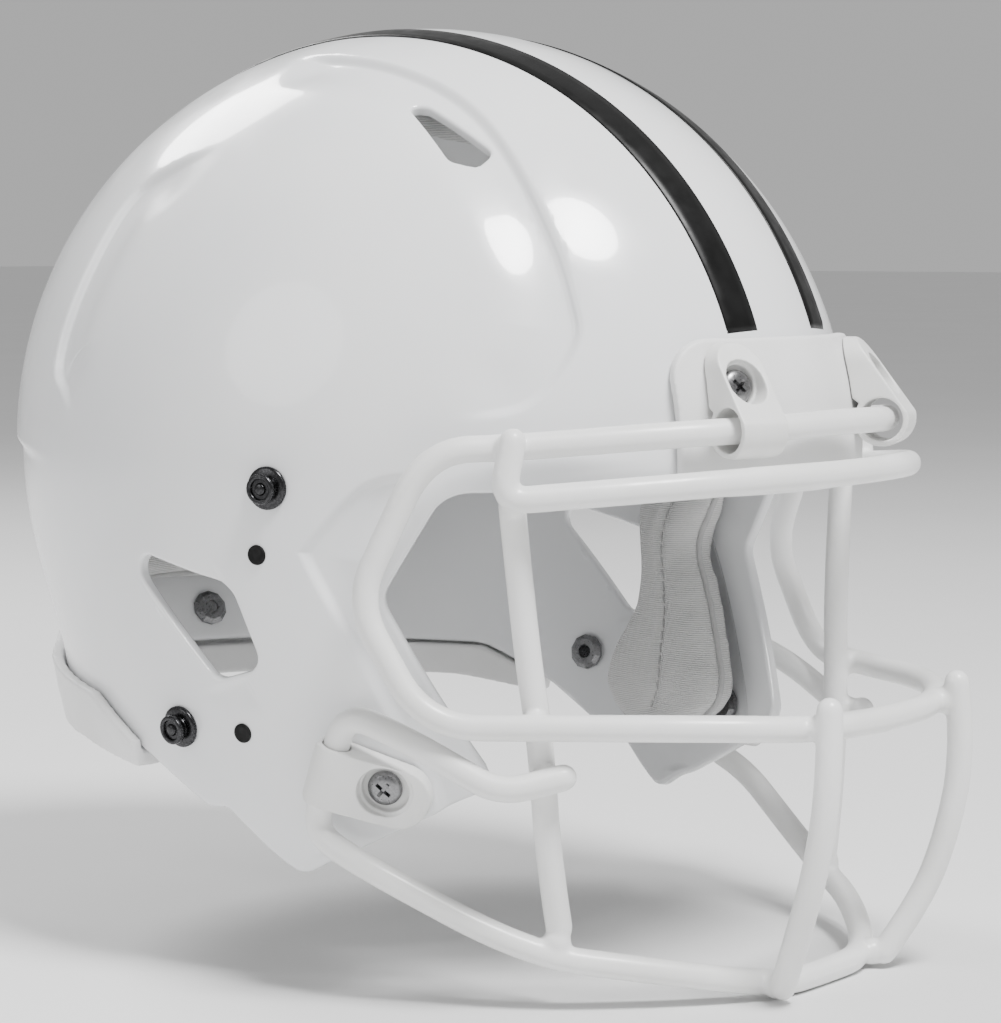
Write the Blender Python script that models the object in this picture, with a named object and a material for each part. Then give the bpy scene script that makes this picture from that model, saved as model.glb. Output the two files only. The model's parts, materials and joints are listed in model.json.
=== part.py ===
"""American football helmet with a swinging facemask.

Metres, +Z up, +X is the wearer's left, -Y is the way the wearer looks. The origin is under the middle of
the helmet, at the height of the facemask's lowest point, with the helmet level as it is worn.

Most pieces are drawn in the dome's own frame, whose origin is the centre of the dome, and an empty at
DOME_CENTRE carries them. The facemask hangs on a second empty, on the line through the two top clips' loops
that it swings about.
"""

import math

import bmesh
import bpy
from mathutils import Matrix, Vector

MM = 0.001
GAP = 0.0003

# Shell: an ellipsoid dome whose lower half reaches further down at the sides, as flaps over the jaw.
HALF_WIDTH = 0.1149
HALF_LENGTH = 0.1452
DOME_HEIGHT = 0.1336
FLAP_REACH = 0.250
REAR_RAMP = (18.0, 80.0)
FRONT_RAMP = 38.0
SHELL_THICKNESS = 0.004
INNER_GAP = 0.0010
DOME_CENTRE = Vector((0.0, 0.0180, 0.1573))

# Edges of the shell, seen from the side: (y, z, corner radius) in millimetres in the dome's frame.
BROW_Z = -5.5
FACE_OPENING = [(-190, BROW_Z, 0), (-82, BROW_Z - 1, 12), (-63.5, -38, 8), (-90.5, -93, 7), (-30, -124, 7)]
LOWER_EDGE = [(-20.5, -117, 3), (-6.5, -104.5, 3), (1, -105, 3), (24, -91, 9), (50, -79, 20), (190, -74, 0)]
BELOW = [(190, -260, 0), (-190, -260, 0)]
EAR_HOLE = [(21.5, -27.5, 4), (20.5, -35.5, 5), (-8.5, -65, 6), (-25.5, -60, 5), (-16, -36, 9)]
VENT_CENTRE = (-0.056, 0.0985)
VENT_OUTLINE = [(-18.5, 3, 2.2), (-13, 7, 2.2), (17, 6.5, 3), (18, -1.5, 3), (11, -6, 4)]

# Stripes: two bands either side of the middle line.
STRIPE_INNER = 0.0151
STRIPE_WIDTH = 0.0121
STRIPE_THICKNESS = 0.0005
STRIPE_ANGLES = (164.0, -22.0)

# Bumpers.
BUMPER_THICKNESS = 0.0042
BUMPER_HALF_WIDTH = 0.049
BUMPER_TOP = 0.0375
BUMPER_CORNER = 0.013
BUMPER_LIP = 0.003
RIM_CLEARANCE = 0.0007
REAR_BUMPER_TURN = 76.0
STEM_HOLE_REACH = 0.009

# Lines that the bumpers follow, as (y, z) stops in millimetres from front to back.
BROW_RIM = [(-190, BROW_Z), (-82, BROW_Z - 1)]
REAR_RIM = [(24, -91), (50, -79), (190, -74)]
REAR_TOP = [(22, -89.5), (47, -73.6), (105, -67.5), (117, -60), (140, -60)]
REAR_BOTTOM = [(20, -96), (58, -90), (140, -86)]

# Facemask rods: (x, y, z, reach of the bend) in millimetres, from the middle out to the left side.
ROD_RADIUS = 0.004
SMOOTH = None
RING_HALF = [
    (0, -155.5, 12.3, SMOOTH), (30, -155.2, 11.8, SMOOTH), (60, -139, 10.8, SMOOTH),
    (89.5, -103.5, 7.2, SMOOTH), (106, -84, 6.5, 16), (113.5, -64.5, -37.5, 12),
    (107.5, -84.5, -72.4, 16), (88, -114, -72.4, SMOOTH),
    (63, -154.5, -72, SMOOTH), (33, -172.5, -74.2, SMOOTH), (0, -173, -75, SMOOTH),
]
BROW_HALF = [
    (0, -161.5, -2.5, SMOOTH), (35, -160, -2.1, SMOOTH), (70, -141, -3.9, SMOOTH),
    (99.5, -106, -7.4, 7), (96.5, -107.7, 9.4, SMOOTH),
]
JAW_HALF = [
    (0, -152.5, -153.6, SMOOTH), (26, -152.5, -153, SMOOTH), (60, -127.5, -145.4, SMOOTH),
    (82, -102.5, -140.5, SMOOTH), (104.5, -58.5, -115.4, 12), (105.2, -41, -107.8, 9),
    (108, -56.0, -70.5, 9), (105, -76, -77, 12), (97.5, -104, -91, 8), (84, -116.5, -86.9, SMOOTH),
]
SIDE_BAR = [
    (91.3, -103.6, -8.9, SMOOTH), (86.2, -104.5, -47.6, SMOOTH), (82.3, -107.5, -79.5, SMOOTH),
    (79.8, -108.1, -111.2, SMOOTH), (74.8, -108.5, -133.1, SMOOTH),
]
CENTRE_BAR = [
    (37.5, -176.6, -67.9, SMOOTH), (39.5, -177.9, -89.2, SMOOTH), (38.8, -173.3, -114.2, SMOOTH),
    (36.7, -165.7, -136.1, SMOOTH), (29.5, -156.7, -152.2, SMOOTH),
]

# Top clips: plastic straps that loop round the ring bar; the facemask swings in them.
CLIP_AT = Vector((0.039, -0.1499, 0.0115))
CLIP_TURN = math.radians(20.3)
TOP_LOOP_INNER = 0.0066
TOP_LOOP_OUTER = 0.0084
TOP_CLIP_HALF_WIDTH = 0.008
TOP_CLIP_PLATE = 0.0055
TOP_CLIP_RUN = 0.0250
TOP_SCREW = (0.0342, 0.0221)

# Side clips: straps that hug the jaw bar and lie on the flaps, each held by a screw.
SIDE_LOOP_INNER = ROD_RADIUS + GAP
SIDE_LOOP_OUTER = ROD_RADIUS + 0.0021
SIDE_CLIP_HALF_WIDTH = 0.0095
SIDE_CLIP_PLATE = 0.0050
SIDE_CLIP_RUN = 0.0310
SIDE_SCREW = (-0.0616, -0.0925)

# Fasteners, snaps and valves, by (y, z) on the side of the shell. Heights are from the shell's outer face.
SNAPS = {"upper": (-0.0304, -0.0062), "lower": (0.0076, -0.0803)}
VALVES = {"upper": (-0.0261, -0.0261), "lower": (-0.0164, -0.0803)}
REAR_SCREW_TURN = 13.0
REAR_SCREW_Z = -0.0665
SNAP_TOP = 0.0052
CLIP_FLOOR = 0.0026
SHANK = 0.0022
SHANK_HOLE = SHANK + GAP
SCREW_HEAD_HEIGHT = 0.0029
COUNTERBORE = 0.0058
VALVE_RADIUS = 0.0030
NUT_RADIUS = 0.0062
NUT_NECK = 0.0046
NUT_FLANGE = 0.0012
NUT_HEIGHT = 0.0022
UNDER_SHELL = -SHELL_THICKNESS - INNER_GAP
STEM_TIP = -SHELL_THICKNESS - 0.0030

# Liner pads: belt pads by (turns from the front, heights), the crown pad by (x, ring angles), and the jaw
# pads between two edges given as (z, y) stops in millimetres going down.
PAD_CLEARANCE = 0.0042
PAD_THICKNESS = 0.019
BELT_PADS = {
    "front_pad": ((-40, 40), (0.006, 0.060)),
    "rear_pad": ((144, 216), (0.002, 0.064)),
    "nape_pad": ((140, 220), (-0.060, -0.006)),
    "side_pad_left": ((50, 132), (0.010, 0.072)),
    "side_pad_right": ((-132, -50), (0.010, 0.072)),
}
CROWN_PAD = ((-0.048, 0.048), (60, 126))
JAW_PAD_HEIGHTS = (-0.010, -0.106)
JAW_PAD_FRONT = [(-10, -74), (-38, -57), (-88, -81), (-96, -76), (-106, -52)]
JAW_PAD_REAR = [(-10, -25), (-30, -24), (-45, -28), (-60, -27), (-80, -14), (-92, -12), (-106, -22)]

WHITE_SHELL = ("shell_gloss_white", (0.86, 0.87, 0.88), 0.18, 0.0)
BLACK_VINYL = ("stripe_black_vinyl", (0.012, 0.012, 0.013), 0.35, 0.0)
WHITE_BUMPER = ("bumper_white", (0.84, 0.84, 0.84), 0.45, 0.0)
WHITE_COAT = ("mask_white_vinyl", (0.86, 0.86, 0.85), 0.38, 0.0)
CLIP_PLASTIC = ("clip_white_plastic", (0.80, 0.80, 0.79), 0.40, 0.0)
STEEL = ("screw_steel", (0.34, 0.34, 0.35), 0.30, 1.0)
SNAP_METAL = ("snap_dark_metal", (0.10, 0.10, 0.105), 0.35, 1.0)
RUBBER = ("valve_black_rubber", (0.015, 0.015, 0.015), 0.60, 0.0)
LINER = ("liner_pale_fabric", (0.72, 0.72, 0.71), 0.85, 0.0)


# ---------------------------------------------------------------- shape of the dome


def ease(t):
    """Smooth step from 0 to 1 with no jump in slope or curvature."""
    t = min(max(t, 0.0), 1.0)
    return t * t * t * (t * (6 * t - 15) + 10)


def reach_down(y, z):
    """Vertical semi-axis of the dome towards (y, z): taller below the equator, at the sides and front."""
    if z >= 0:
        return DOME_HEIGHT
    below = math.degrees(math.atan2(-z, y))
    grown = ease((below - REAR_RAMP[0]) / (REAR_RAMP[1] - REAR_RAMP[0])) * ease((180 - below) / FRONT_RAMP)
    return DOME_HEIGHT + (FLAP_REACH - DOME_HEIGHT) * grown


def level(p):
    """1 on the shell's outer surface, less inside, more outside."""
    return (p.x / HALF_WIDTH) ** 2 + (p.y / HALF_LENGTH) ** 2 + (p.z / reach_down(p.y, p.z)) ** 2


def normal_at(p):
    """Outward normal of the outer surface, from the slope of level()."""
    steps = [Vector(row) * 0.0002 for row in Matrix.Identity(3)]
    return Vector([level(p + step) - level(p - step) for step in steps]).normalized()


def cast(start, direction):
    """Where a ray from inside meets the outer surface."""
    near, far = 0.0, 0.3
    for _ in range(40):
        middle = (near + far) / 2
        if level(start + middle * direction) < 1:
            near = middle
        else:
            far = middle
    return start + near * direction


def lifted(p, offset):
    return p + offset * normal_at(p)


def stepped_out(p, offset):
    """Like lifted, but at the same height."""
    level_normal = normal_at(p)
    level_normal.z = 0
    return p + level_normal * offset / level_normal.length_squared


def ring_point(x, angle, offset=0.0):
    """Point on the ring at x, at an angle in degrees: 0 at the back, 90 on top, 180 at the front."""
    a = math.radians(angle)
    return lifted(cast(Vector((x, 0, 0)), Vector((0, math.cos(a), math.sin(a)))), offset)


def belt_point(turn, z, offset=0.0):
    """Point at height z, turned in degrees from the front (0) to the wearer's left (90) and back (180)."""
    a = math.radians(turn)
    return lifted(cast(Vector((0, 0, z)), Vector((math.sin(a), -math.cos(a), 0))), offset)


def side_point(side, y, z, offset=0.0):
    """Point on the side of the shell that has the given y and z."""
    return lifted(cast(Vector((0, y, z)), Vector((side, 0, 0))), offset)


# ---------------------------------------------------------------- mesh and object helpers


def clear_scene():
    for obj in list(bpy.data.objects):
        bpy.data.objects.remove(obj)


def make_material(spec):
    name, colour, roughness, metallic = spec
    material = bpy.data.materials.get(name) or bpy.data.materials.new(name)
    material.use_nodes = True
    shader = material.node_tree.nodes["Principled BSDF"]
    shader.inputs["Base Color"].default_value = (*colour, 1)
    shader.inputs["Roughness"].default_value = roughness
    shader.inputs["Metallic"].default_value = metallic
    material.diffuse_color = (*colour, 1)
    return material


def make_empty(name, location):
    empty = bpy.data.objects.new(name, None)
    bpy.context.collection.objects.link(empty)
    empty.location = location
    return empty


def add_object(name, bm, spec, parent, frame_origin=Vector()):
    """Turns a bmesh drawn in the dome's frame into an object that hangs on the parent empty."""
    bmesh.ops.recalc_face_normals(bm, faces=bm.faces)
    return link_object(name, bm, spec, parent, frame_origin)


def link_object(name, bm, spec, parent, frame_origin=Vector()):
    """Like add_object, but keeps the faces' directions as they are."""
    bmesh.ops.translate(bm, verts=bm.verts, vec=-frame_origin)
    mesh = bpy.data.meshes.new(name)
    bm.to_mesh(mesh)
    bm.free()
    mesh.shade_smooth()
    mesh.set_sharp_from_angle(angle=math.radians(35))
    obj = bpy.data.objects.new(name, mesh)
    bpy.context.collection.objects.link(obj)
    obj.parent = parent
    if spec:
        obj.data.materials.append(make_material(spec))
    return obj


def cut(obj, name, bm):
    """Takes closed bodies that don't overlap each other out of the object."""
    cutter = add_object(name, bm, None, obj.parent)
    cutter.hide_render = True
    cutter.display_type = "WIRE"
    boolean = obj.modifiers.new(name, "BOOLEAN")
    boolean.operation = "DIFFERENCE"
    boolean.solver = "EXACT"
    boolean.object = cutter


def rounded_outline(corners, scale=MM, facets=4):
    """2-D outline from (u, v, radius) corners, each rounded by an arc."""
    points = []
    for i, (u, v, radius) in enumerate(corners):
        corner = Vector((u, v))
        if radius == 0:
            points.append(corner * scale)
            continue
        before = (Vector(corners[i - 1][:2]) - corner).normalized()
        after = (Vector(corners[(i + 1) % len(corners)][:2]) - corner).normalized()
        half = before.angle(after) / 2
        centre = corner + (before + after).normalized() * radius / math.sin(half)
        start = corner + before * radius / math.tan(half) - centre
        end = corner + after * radius / math.tan(half) - centre
        sweep = start.angle_signed(end)
        for k in range(facets + 1):
            turned = Matrix.Rotation(-sweep * k / facets, 2) @ start
            points.append((centre + turned) * scale)
    return points


def prism(bm, outline, origin, u, v, low, high):
    """Closed prism over a 2-D outline: origin + u * a + v * b, from low to high along u x v."""
    w = u.cross(v)
    ends = []
    for height in (low, high):
        ends.append([bm.verts.new(origin + u * a + v * b + w * height) for a, b in outline])
    bm.faces.new(reversed(ends[0]))
    bm.faces.new(ends[1])
    count = len(outline)
    for i in range(count):
        j = (i + 1) % count
        bm.faces.new((ends[0][i], ends[0][j], ends[1][j], ends[1][i]))


def turned(bm, profile, centre, axis, segments):
    """Lathe: (radius, height) points along the axis. A profile that starts and ends on the axis closes
    there; one that doesn't is a closed loop, which makes a ring."""
    axis = axis.normalized()
    across = axis.orthogonal().normalized()
    beside = axis.cross(across)
    loops = []
    for radius, height in profile:
        base = centre + axis * height
        if radius == 0:
            loops.append([bm.verts.new(base)])
            continue
        loop = []
        for k in range(segments):
            a = 2 * math.pi * k / segments
            loop.append(bm.verts.new(base + radius * (across * math.cos(a) + beside * math.sin(a))))
        loops.append(loop)
    is_ring = profile[0][0] > 0
    pairs = list(zip(loops, loops[1:] + loops[:1])) if is_ring else list(zip(loops, loops[1:]))
    for lower, upper in pairs:
        for k in range(segments):
            n = (k + 1) % segments
            corners = [lower[k % len(lower)], lower[n % len(lower)]]
            corners += [upper[n % len(upper)], upper[k % len(upper)]]
            bm.faces.new(list(dict.fromkeys(corners)))


def slab(bm, columns, rows, inner, outer):
    """Closed slab between two curved sheets; inner and outer give the point at (i, j)."""
    sheets = []
    for sheet in (inner, outer):
        sheets.append([[bm.verts.new(sheet(i, j)) for j in range(rows + 1)] for i in range(columns + 1)])
    low, high = sheets
    for i in range(columns):
        for j in range(rows):
            bm.faces.new((low[i][j], low[i][j + 1], low[i + 1][j + 1], low[i + 1][j]))
            bm.faces.new((high[i][j], high[i + 1][j], high[i + 1][j + 1], high[i][j + 1]))
    rim = [(i, 0) for i in range(columns)] + [(columns, j) for j in range(rows)]
    rim += [(i, rows) for i in range(columns, 0, -1)] + [(0, j) for j in range(rows, 0, -1)]
    for (a, b), (c, d) in zip(rim, rim[1:] + rim[:1]):
        bm.faces.new((low[a][b], low[c][d], high[c][d], high[a][b]))


def bent_path(corners, step=0.010):
    """Centre line through straight runs and bends. Each corner is (x, y, z, reach) in millimetres; a bend
    starts and ends its reach away from the corner, or half way to the next one where the reach is SMOOTH."""
    points = [Vector(c[:3]) * MM for c in corners]
    path = [points[0]]
    for i in range(1, len(corners) - 1):
        reach = corners[i][3]
        legs = []
        for other, half in ((points[i - 1], i > 1), (points[i + 1], i < len(corners) - 2)):
            leg = other - points[i]
            share = 0.5 if half else 1.0
            length = leg.length * share if reach is SMOOTH else reach * MM
            legs.append(points[i] + leg.normalized() * min(length, leg.length * share))
        count = max(2, math.ceil((legs[1] - legs[0]).length / step))
        if (legs[0] - path[-1]).length > 1e-6:
            path.append(legs[0])
        for k in range(1, count + 1):
            t = k / count
            path.append((1 - t) ** 2 * legs[0] + 2 * t * (1 - t) * points[i] + t * t * legs[1])
    if (points[-1] - path[-1]).length > 1e-6:
        path.append(points[-1])
    return path


def mirrored(half):
    """Whole path from the wearer's right to the left, from a half that starts on the middle line."""
    return [(-x, y, z, reach) for x, y, z, reach in reversed(half[1:])] + list(half)


def tube(bm, path, radius, closed, sides=8):
    """Round rod along a path, with a domed end at each end of an open path."""
    count = len(path)
    tangents = []
    for i in range(count):
        before = path[i - 1] if i > 0 or closed else path[i]
        after = path[(i + 1) % count] if i < count - 1 or closed else path[i]
        tangents.append((after - before).normalized())
    across = tangents[0].orthogonal().normalized()
    frames = [across]
    for i in range(1, count):
        across = (across - tangents[i] * across.dot(tangents[i])).normalized()
        frames.append(across)
    rings = []

    def ring(i, shift, r):
        beside = tangents[i].cross(frames[i])
        centre = path[i] + tangents[i] * shift
        angles = [2 * math.pi * (k + 0.5) / sides for k in range(sides)]
        return [bm.verts.new(centre + r * (frames[i] * math.cos(a) + beside * math.sin(a))) for a in angles]

    dome = [(0.75, 0.66), (0.97, 0.24)]
    if not closed:
        rings += [ring(0, -radius * out, radius * across_share) for out, across_share in reversed(dome)]
    rings += [ring(i, 0, radius) for i in range(count)]
    if not closed:
        rings += [ring(count - 1, radius * out, radius * across_share) for out, across_share in dome]
        bm.faces.new(reversed(rings[0]))
        bm.faces.new(rings[-1])
    for a, b in zip(rings, rings[1:]):
        for k in range(sides):
            n = (k + 1) % sides
            bm.faces.new((a[k], a[n], b[n], b[k]))
    if closed:
        first, last = rings[0], rings[-1]
        near = min(range(sides), key=lambda k: (first[k].co - last[0].co).length)
        for k in range(sides):
            n = (k + 1) % sides
            bm.faces.new((last[k], last[n], first[(n + near) % sides], first[(k + near) % sides]))


# ---------------------------------------------------------------- shell, stripes and bumpers


def ball(bm, offset, columns=24, rows=36):
    """Closed surface at an offset from the dome, with its poles on the X axis."""
    poles = [bm.verts.new(Vector((side * (HALF_WIDTH + offset), 0, 0))) for side in (-1, 1)]
    rings = []
    for i in range(1, columns):
        x = HALF_WIDTH * math.sin(math.pi * (i / columns - 0.5))
        rings.append([bm.verts.new(ring_point(x, 360 * j / rows, offset)) for j in range(rows)])
    for j in range(rows):
        n = (j + 1) % rows
        bm.faces.new((poles[0], rings[0][n], rings[0][j]))
        bm.faces.new((poles[1], rings[-1][j], rings[-1][n]))
        for a, b in zip(rings, rings[1:]):
            bm.faces.new((a[j], a[n], b[n], b[j]))


def hollow_ball():
    """The whole shell before it is trimmed: an outer surface and an inner one that faces inwards."""
    bm = bmesh.new()
    ball(bm, -SHELL_THICKNESS)
    bmesh.ops.recalc_face_normals(bm, faces=bm.faces)
    bmesh.ops.reverse_faces(bm, faces=bm.faces)
    inner = set(bm.faces)
    ball(bm, 0.0)
    bmesh.ops.recalc_face_normals(bm, faces=[f for f in bm.faces if f not in inner])
    return bm


def vent_frame(side):
    """Centre and axes of a crown vent: u runs down towards the brow, v up towards the middle line."""
    y, z = VENT_CENTRE
    centre = side_point(side, y, z)
    out = normal_at(centre)
    u = (Vector((0, -0.86, -0.51)) - out * out.dot(Vector((0, -0.86, -0.51)))).normalized()
    v = out.cross(u) * -side
    return centre, u, v


def screw_sites():
    """Every hole through the shell: (name, left or right, point on the outer surface, outward direction)."""
    sites = []
    for side, word in ((-1, "right"), (1, "left")):
        x, z = TOP_SCREW
        top = cast(Vector((side * x, 0, z)), Vector((0, -1, 0)))
        sites.append(("top_clip", word, top, normal_at(top)))
        places = {"side_clip": SIDE_SCREW, "snap_upper": SNAPS["upper"], "snap_lower": SNAPS["lower"]}
        places.update({"valve_upper": VALVES["upper"], "valve_lower": VALVES["lower"]})
        for name, (y, z) in places.items():
            point = side_point(side, y, z)
            sites.append((name, word, point, normal_at(point)))
        rear = belt_point(180 - side * REAR_SCREW_TURN, REAR_SCREW_Z)
        sites.append(("rear_bumper", word, rear, normal_at(rear)))
    return sites


def make_shell(parent):
    shell = link_object("shell", hollow_ball(), WHITE_SHELL, parent)
    y_axis, z_axis = Vector((0, 1, 0)), Vector((0, 0, 1))
    bm = bmesh.new()
    opening = rounded_outline(FACE_OPENING + LOWER_EDGE + BELOW, facets=5)
    prism(bm, opening, Vector(), y_axis, z_axis, -0.2, 0.2)
    prism(bm, rounded_outline(EAR_HOLE), Vector(), y_axis, z_axis, -0.2, 0.2)
    for side in (-1, 1):
        centre, u, v = vent_frame(side)
        prism(bm, rounded_outline(VENT_OUTLINE, facets=3), centre, u, v, -0.02, 0.02)
    for name, _, point, out in screw_sites():
        radius = VALVE_RADIUS + GAP if name.startswith("valve") else SHANK_HOLE
        turned(bm, [(0, -0.012), (radius, -0.012), (radius, 0.012), (0, 0.012)], point, out, 12)
    cut(shell, "shell_openings", bm)
    return shell


def make_stripes(parent):
    """Thin vinyl bands that lie on the dome from the brow bumper to the nape."""
    front, back = STRIPE_ANGLES
    rows = 30
    for side, word in ((-1, "right"), (1, "left")):

        def band(i, j, offset):
            x = side * (STRIPE_INNER + STRIPE_WIDTH * i)
            return ring_point(x, front + (back - front) * j / rows, offset)

        bm = bmesh.new()
        top = GAP + STRIPE_THICKNESS
        slab(bm, 1, rows, lambda i, j: band(i, j, GAP), lambda i, j: band(i, j, top))
        add_object(f"stripe_{word}", bm, BLACK_VINYL, parent)


def hooked_strip(bm, stations, point, rim_stops, faces_down):
    """Strip of L section that covers the shell's edge. Each station gives its top, rim and bottom heights,
    and point(station, height, offset) places a corner of the section. The lip follows the rim's own line."""
    loops = []
    inside = -SHELL_THICKNESS - INNER_GAP
    for s, (top, rim, bottom) in stations:
        heights = [top + (rim - top) * k / faces_down for k in range(faces_down)]
        section = [point(s, h, BUMPER_THICKNESS) for h in heights + [rim]]
        section += [point(s, bottom, BUMPER_THICKNESS * 0.8), point(s, bottom, inside)]
        for offset in (inside, 2 * GAP):
            corner = point(s, rim, offset)
            corner.z = between(corner.y, rim_stops) - RIM_CLEARANCE
            section.append(corner)
        section += [point(s, h, 2 * GAP) for h in reversed(heights)]
        loops.append([bm.verts.new(corner) for corner in section])
    for a, b in zip(loops, loops[1:]):
        for k in range(len(a)):
            n = (k + 1) % len(a)
            bm.faces.new((a[k], a[n], b[n], b[k]))
    for end in (loops[0], loops[-1]):
        count = faces_down
        for k in range(count):
            bm.faces.new((end[k], end[k + 1], end[-2 - k], end[-1 - k]))
        bm.faces.new((end[count], end[count + 1], end[count + 2], end[count + 3], end[count + 4]))


def brow_height(x):
    """Top edge of the front bumper at x, rounded off at its two corners."""
    over = abs(x) - (BUMPER_HALF_WIDTH - BUMPER_CORNER)
    if over <= 0:
        return BUMPER_TOP
    return BUMPER_TOP - BUMPER_CORNER + math.sqrt(max(BUMPER_CORNER**2 - over**2, 0.0))


def make_front_bumper(parent):
    bm = bmesh.new()
    columns = 22
    stations = []
    for k in range(columns + 1):
        x = BUMPER_HALF_WIDTH * math.sin(math.pi * (k / columns - 0.5))
        rim = BROW_Z * MM
        stations.append((x, (brow_height(x), rim, rim - BUMPER_LIP)))

    def point(x, height, offset):
        return stepped_out(cast(Vector((x, 0, height)), Vector((0, -1, 0))), offset)

    hooked_strip(bm, stations, point, BROW_RIM, 5)
    bumper = add_object("front_bumper", bm, WHITE_BUMPER, parent)
    drill_for(bumper, "top_clip")


def drill_for(bumper, site_name):
    """Clear holes through a bumper for the screws at the named sites."""
    bm = bmesh.new()
    reach = STEM_HOLE_REACH
    profile = [(0, -reach), (SHANK_HOLE, -reach), (SHANK_HOLE, reach), (0, reach)]
    for name, _, site, out in screw_sites():
        if name == site_name:
            turned(bm, profile, site, out, 12)
    cut(bumper, bumper.name + "_holes", bm)


def between(y, stops):
    """Height at y on a line through (y, z) stops, in metres."""
    stops = [(a * MM, b * MM) for a, b in stops]
    for (y0, z0), (y1, z1) in zip(stops, stops[1:]):
        if y <= y1:
            return z0 + (z1 - z0) * max(y - y0, 0.0) / (y1 - y0)
    return stops[-1][1]


def make_rear_bumper(parent):
    """Soft strip that wraps the back edge of the shell from ear to ear."""
    bm = bmesh.new()
    columns = 34
    stations = []
    for k in range(columns + 1):
        turn = 180 + REAR_BUMPER_TURN * (2 * k / columns - 1)
        y = belt_point(turn, -0.080).y
        rim = between(y, REAR_RIM)
        stations.append((turn, (between(y, REAR_TOP), rim, between(y, REAR_BOTTOM))))

    def point(turn, height, offset):
        return stepped_out(belt_point(turn, height), offset)

    hooked_strip(bm, stations, point, REAR_RIM, 2)
    bumper = add_object("rear_bumper", bm, WHITE_BUMPER, parent)
    drill_for(bumper, "rear_bumper")


# ---------------------------------------------------------------- fasteners, snaps and valves


def cross_recess(bm, top, out, reach=0.0031, half=0.0006, depth=0.0014):
    """Plus-shaped prism for a cross drive."""
    corners = []
    for a, b in ((1, 0), (0, 1), (-1, 0), (0, -1)):
        corners.append((reach * a + half * b, reach * b - half * a))
        corners.append((reach * a - half * b, reach * b + half * a))
        corners.append((half * (a - b), half * (a + b)))
    u = out.orthogonal().normalized()
    prism(bm, corners, top, u, out.cross(u), -depth, 0.003)


def pan_screw(name, site, out, seat, tip, parent, frame_origin=Vector()):
    """Pan-head screw with a cross drive. seat and tip are heights above the shell's outer face."""
    bm = bmesh.new()
    head = [(0.0050, seat), (0.0052, seat + 0.0008), (0.0044, seat + 0.0021), (0.0026, seat + 0.0027)]
    top = seat + SCREW_HEAD_HEIGHT
    turned(bm, [(0, tip), (SHANK, tip), (SHANK, seat)] + head + [(0, top)], site, out, 12)
    screw = add_object(name, bm, STEEL, parent, frame_origin)
    bm = bmesh.new()
    cross_recess(bm, site + out * top - frame_origin, out)
    cut(screw, name + "_drive", bm)
    return screw


def sleeve_nut(name, site, out, parent):
    """Flanged nut inside the shell, with a clear hole for the shank."""
    bm = bmesh.new()
    bore = [(SHANK_HOLE, UNDER_SHELL - NUT_HEIGHT), (SHANK_HOLE, UNDER_SHELL)]
    turned(bm, nut_outline() + bore, site, out, 10)
    add_object(name, bm, STEEL, parent)


def nut_outline():
    flange = [(NUT_RADIUS, UNDER_SHELL), (NUT_RADIUS, UNDER_SHELL - NUT_FLANGE)]
    return flange + [(NUT_NECK, UNDER_SHELL - NUT_HEIGHT)]


def closed_nut(name, site, out, parent):
    """Nut whose barrel fills the shell's hole up to its outer face."""
    bm = bmesh.new()
    barrel = [(0, -GAP), (SHANK, -GAP), (SHANK, UNDER_SHELL)]
    turned(bm, barrel + nut_outline() + [(0, UNDER_SHELL - NUT_HEIGHT)], site, out, 10)
    add_object(name, bm, STEEL, parent)


def valve(name, site, out, parent):
    """Rubber plug of an inflation valve, just proud of the shell."""
    bm = bmesh.new()
    proud = 0.0008
    edge = [(VALVE_RADIUS, UNDER_SHELL), (VALVE_RADIUS, GAP), (VALVE_RADIUS - 0.0007, proud)]
    turned(bm, [(0, UNDER_SHELL)] + edge + [(0, proud)], site, out, 10)
    add_object(name, bm, RUBBER, parent)


def make_fasteners(parent):
    """Everything that goes through the shell, apart from the side clips' screws."""
    seats = {
        "top_clip": BUMPER_THICKNESS + GAP + CLIP_FLOOR + GAP,
        "rear_bumper": BUMPER_THICKNESS + 2 * GAP,
    }
    for name, word, site, out in screw_sites():
        kind, where = name.split("_")
        if name in seats:
            pan_screw(f"{name}_screw_{word}", site, out, seats[name], STEM_TIP, parent)
            sleeve_nut(f"{name}_nut_{word}", site, out, parent)
        elif name == "side_clip":
            closed_nut(f"side_clip_nut_{word}", site, out, parent)
        elif kind == "snap":
            make_snap(f"{where}_snap_{word}", site, out, parent)
            sleeve_nut(f"{where}_snap_nut_{word}", site, out, parent)
        else:
            valve(f"{where}_valve_{word}", site, out, parent)


def make_snap(name, site, out, parent):
    """Chin-strap snap post: a flange, a waisted knob with a ring groove in its flat top, and a shank."""
    flange = [(0.0064, GAP), (0.0064, 0.0012), (0.0058, 0.0016), (0.0040, 0.0016)]
    knob = [(0.0036, 0.0024), (0.0045, 0.0034), (0.0045, 0.0046), (0.0040, 0.0052)]
    top = [(0.0030, 0.0052), (0.0030, 0.0044), (0.0018, 0.0044), (0.0018, SNAP_TOP), (0, SNAP_TOP)]
    bm = bmesh.new()
    turned(bm, [(0, STEM_TIP), (SHANK, STEM_TIP), (SHANK, GAP)] + flange + knob + top, site, out, 12)
    add_object(name, bm, SNAP_METAL, parent)


# ---------------------------------------------------------------- facemask and its clips


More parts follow.
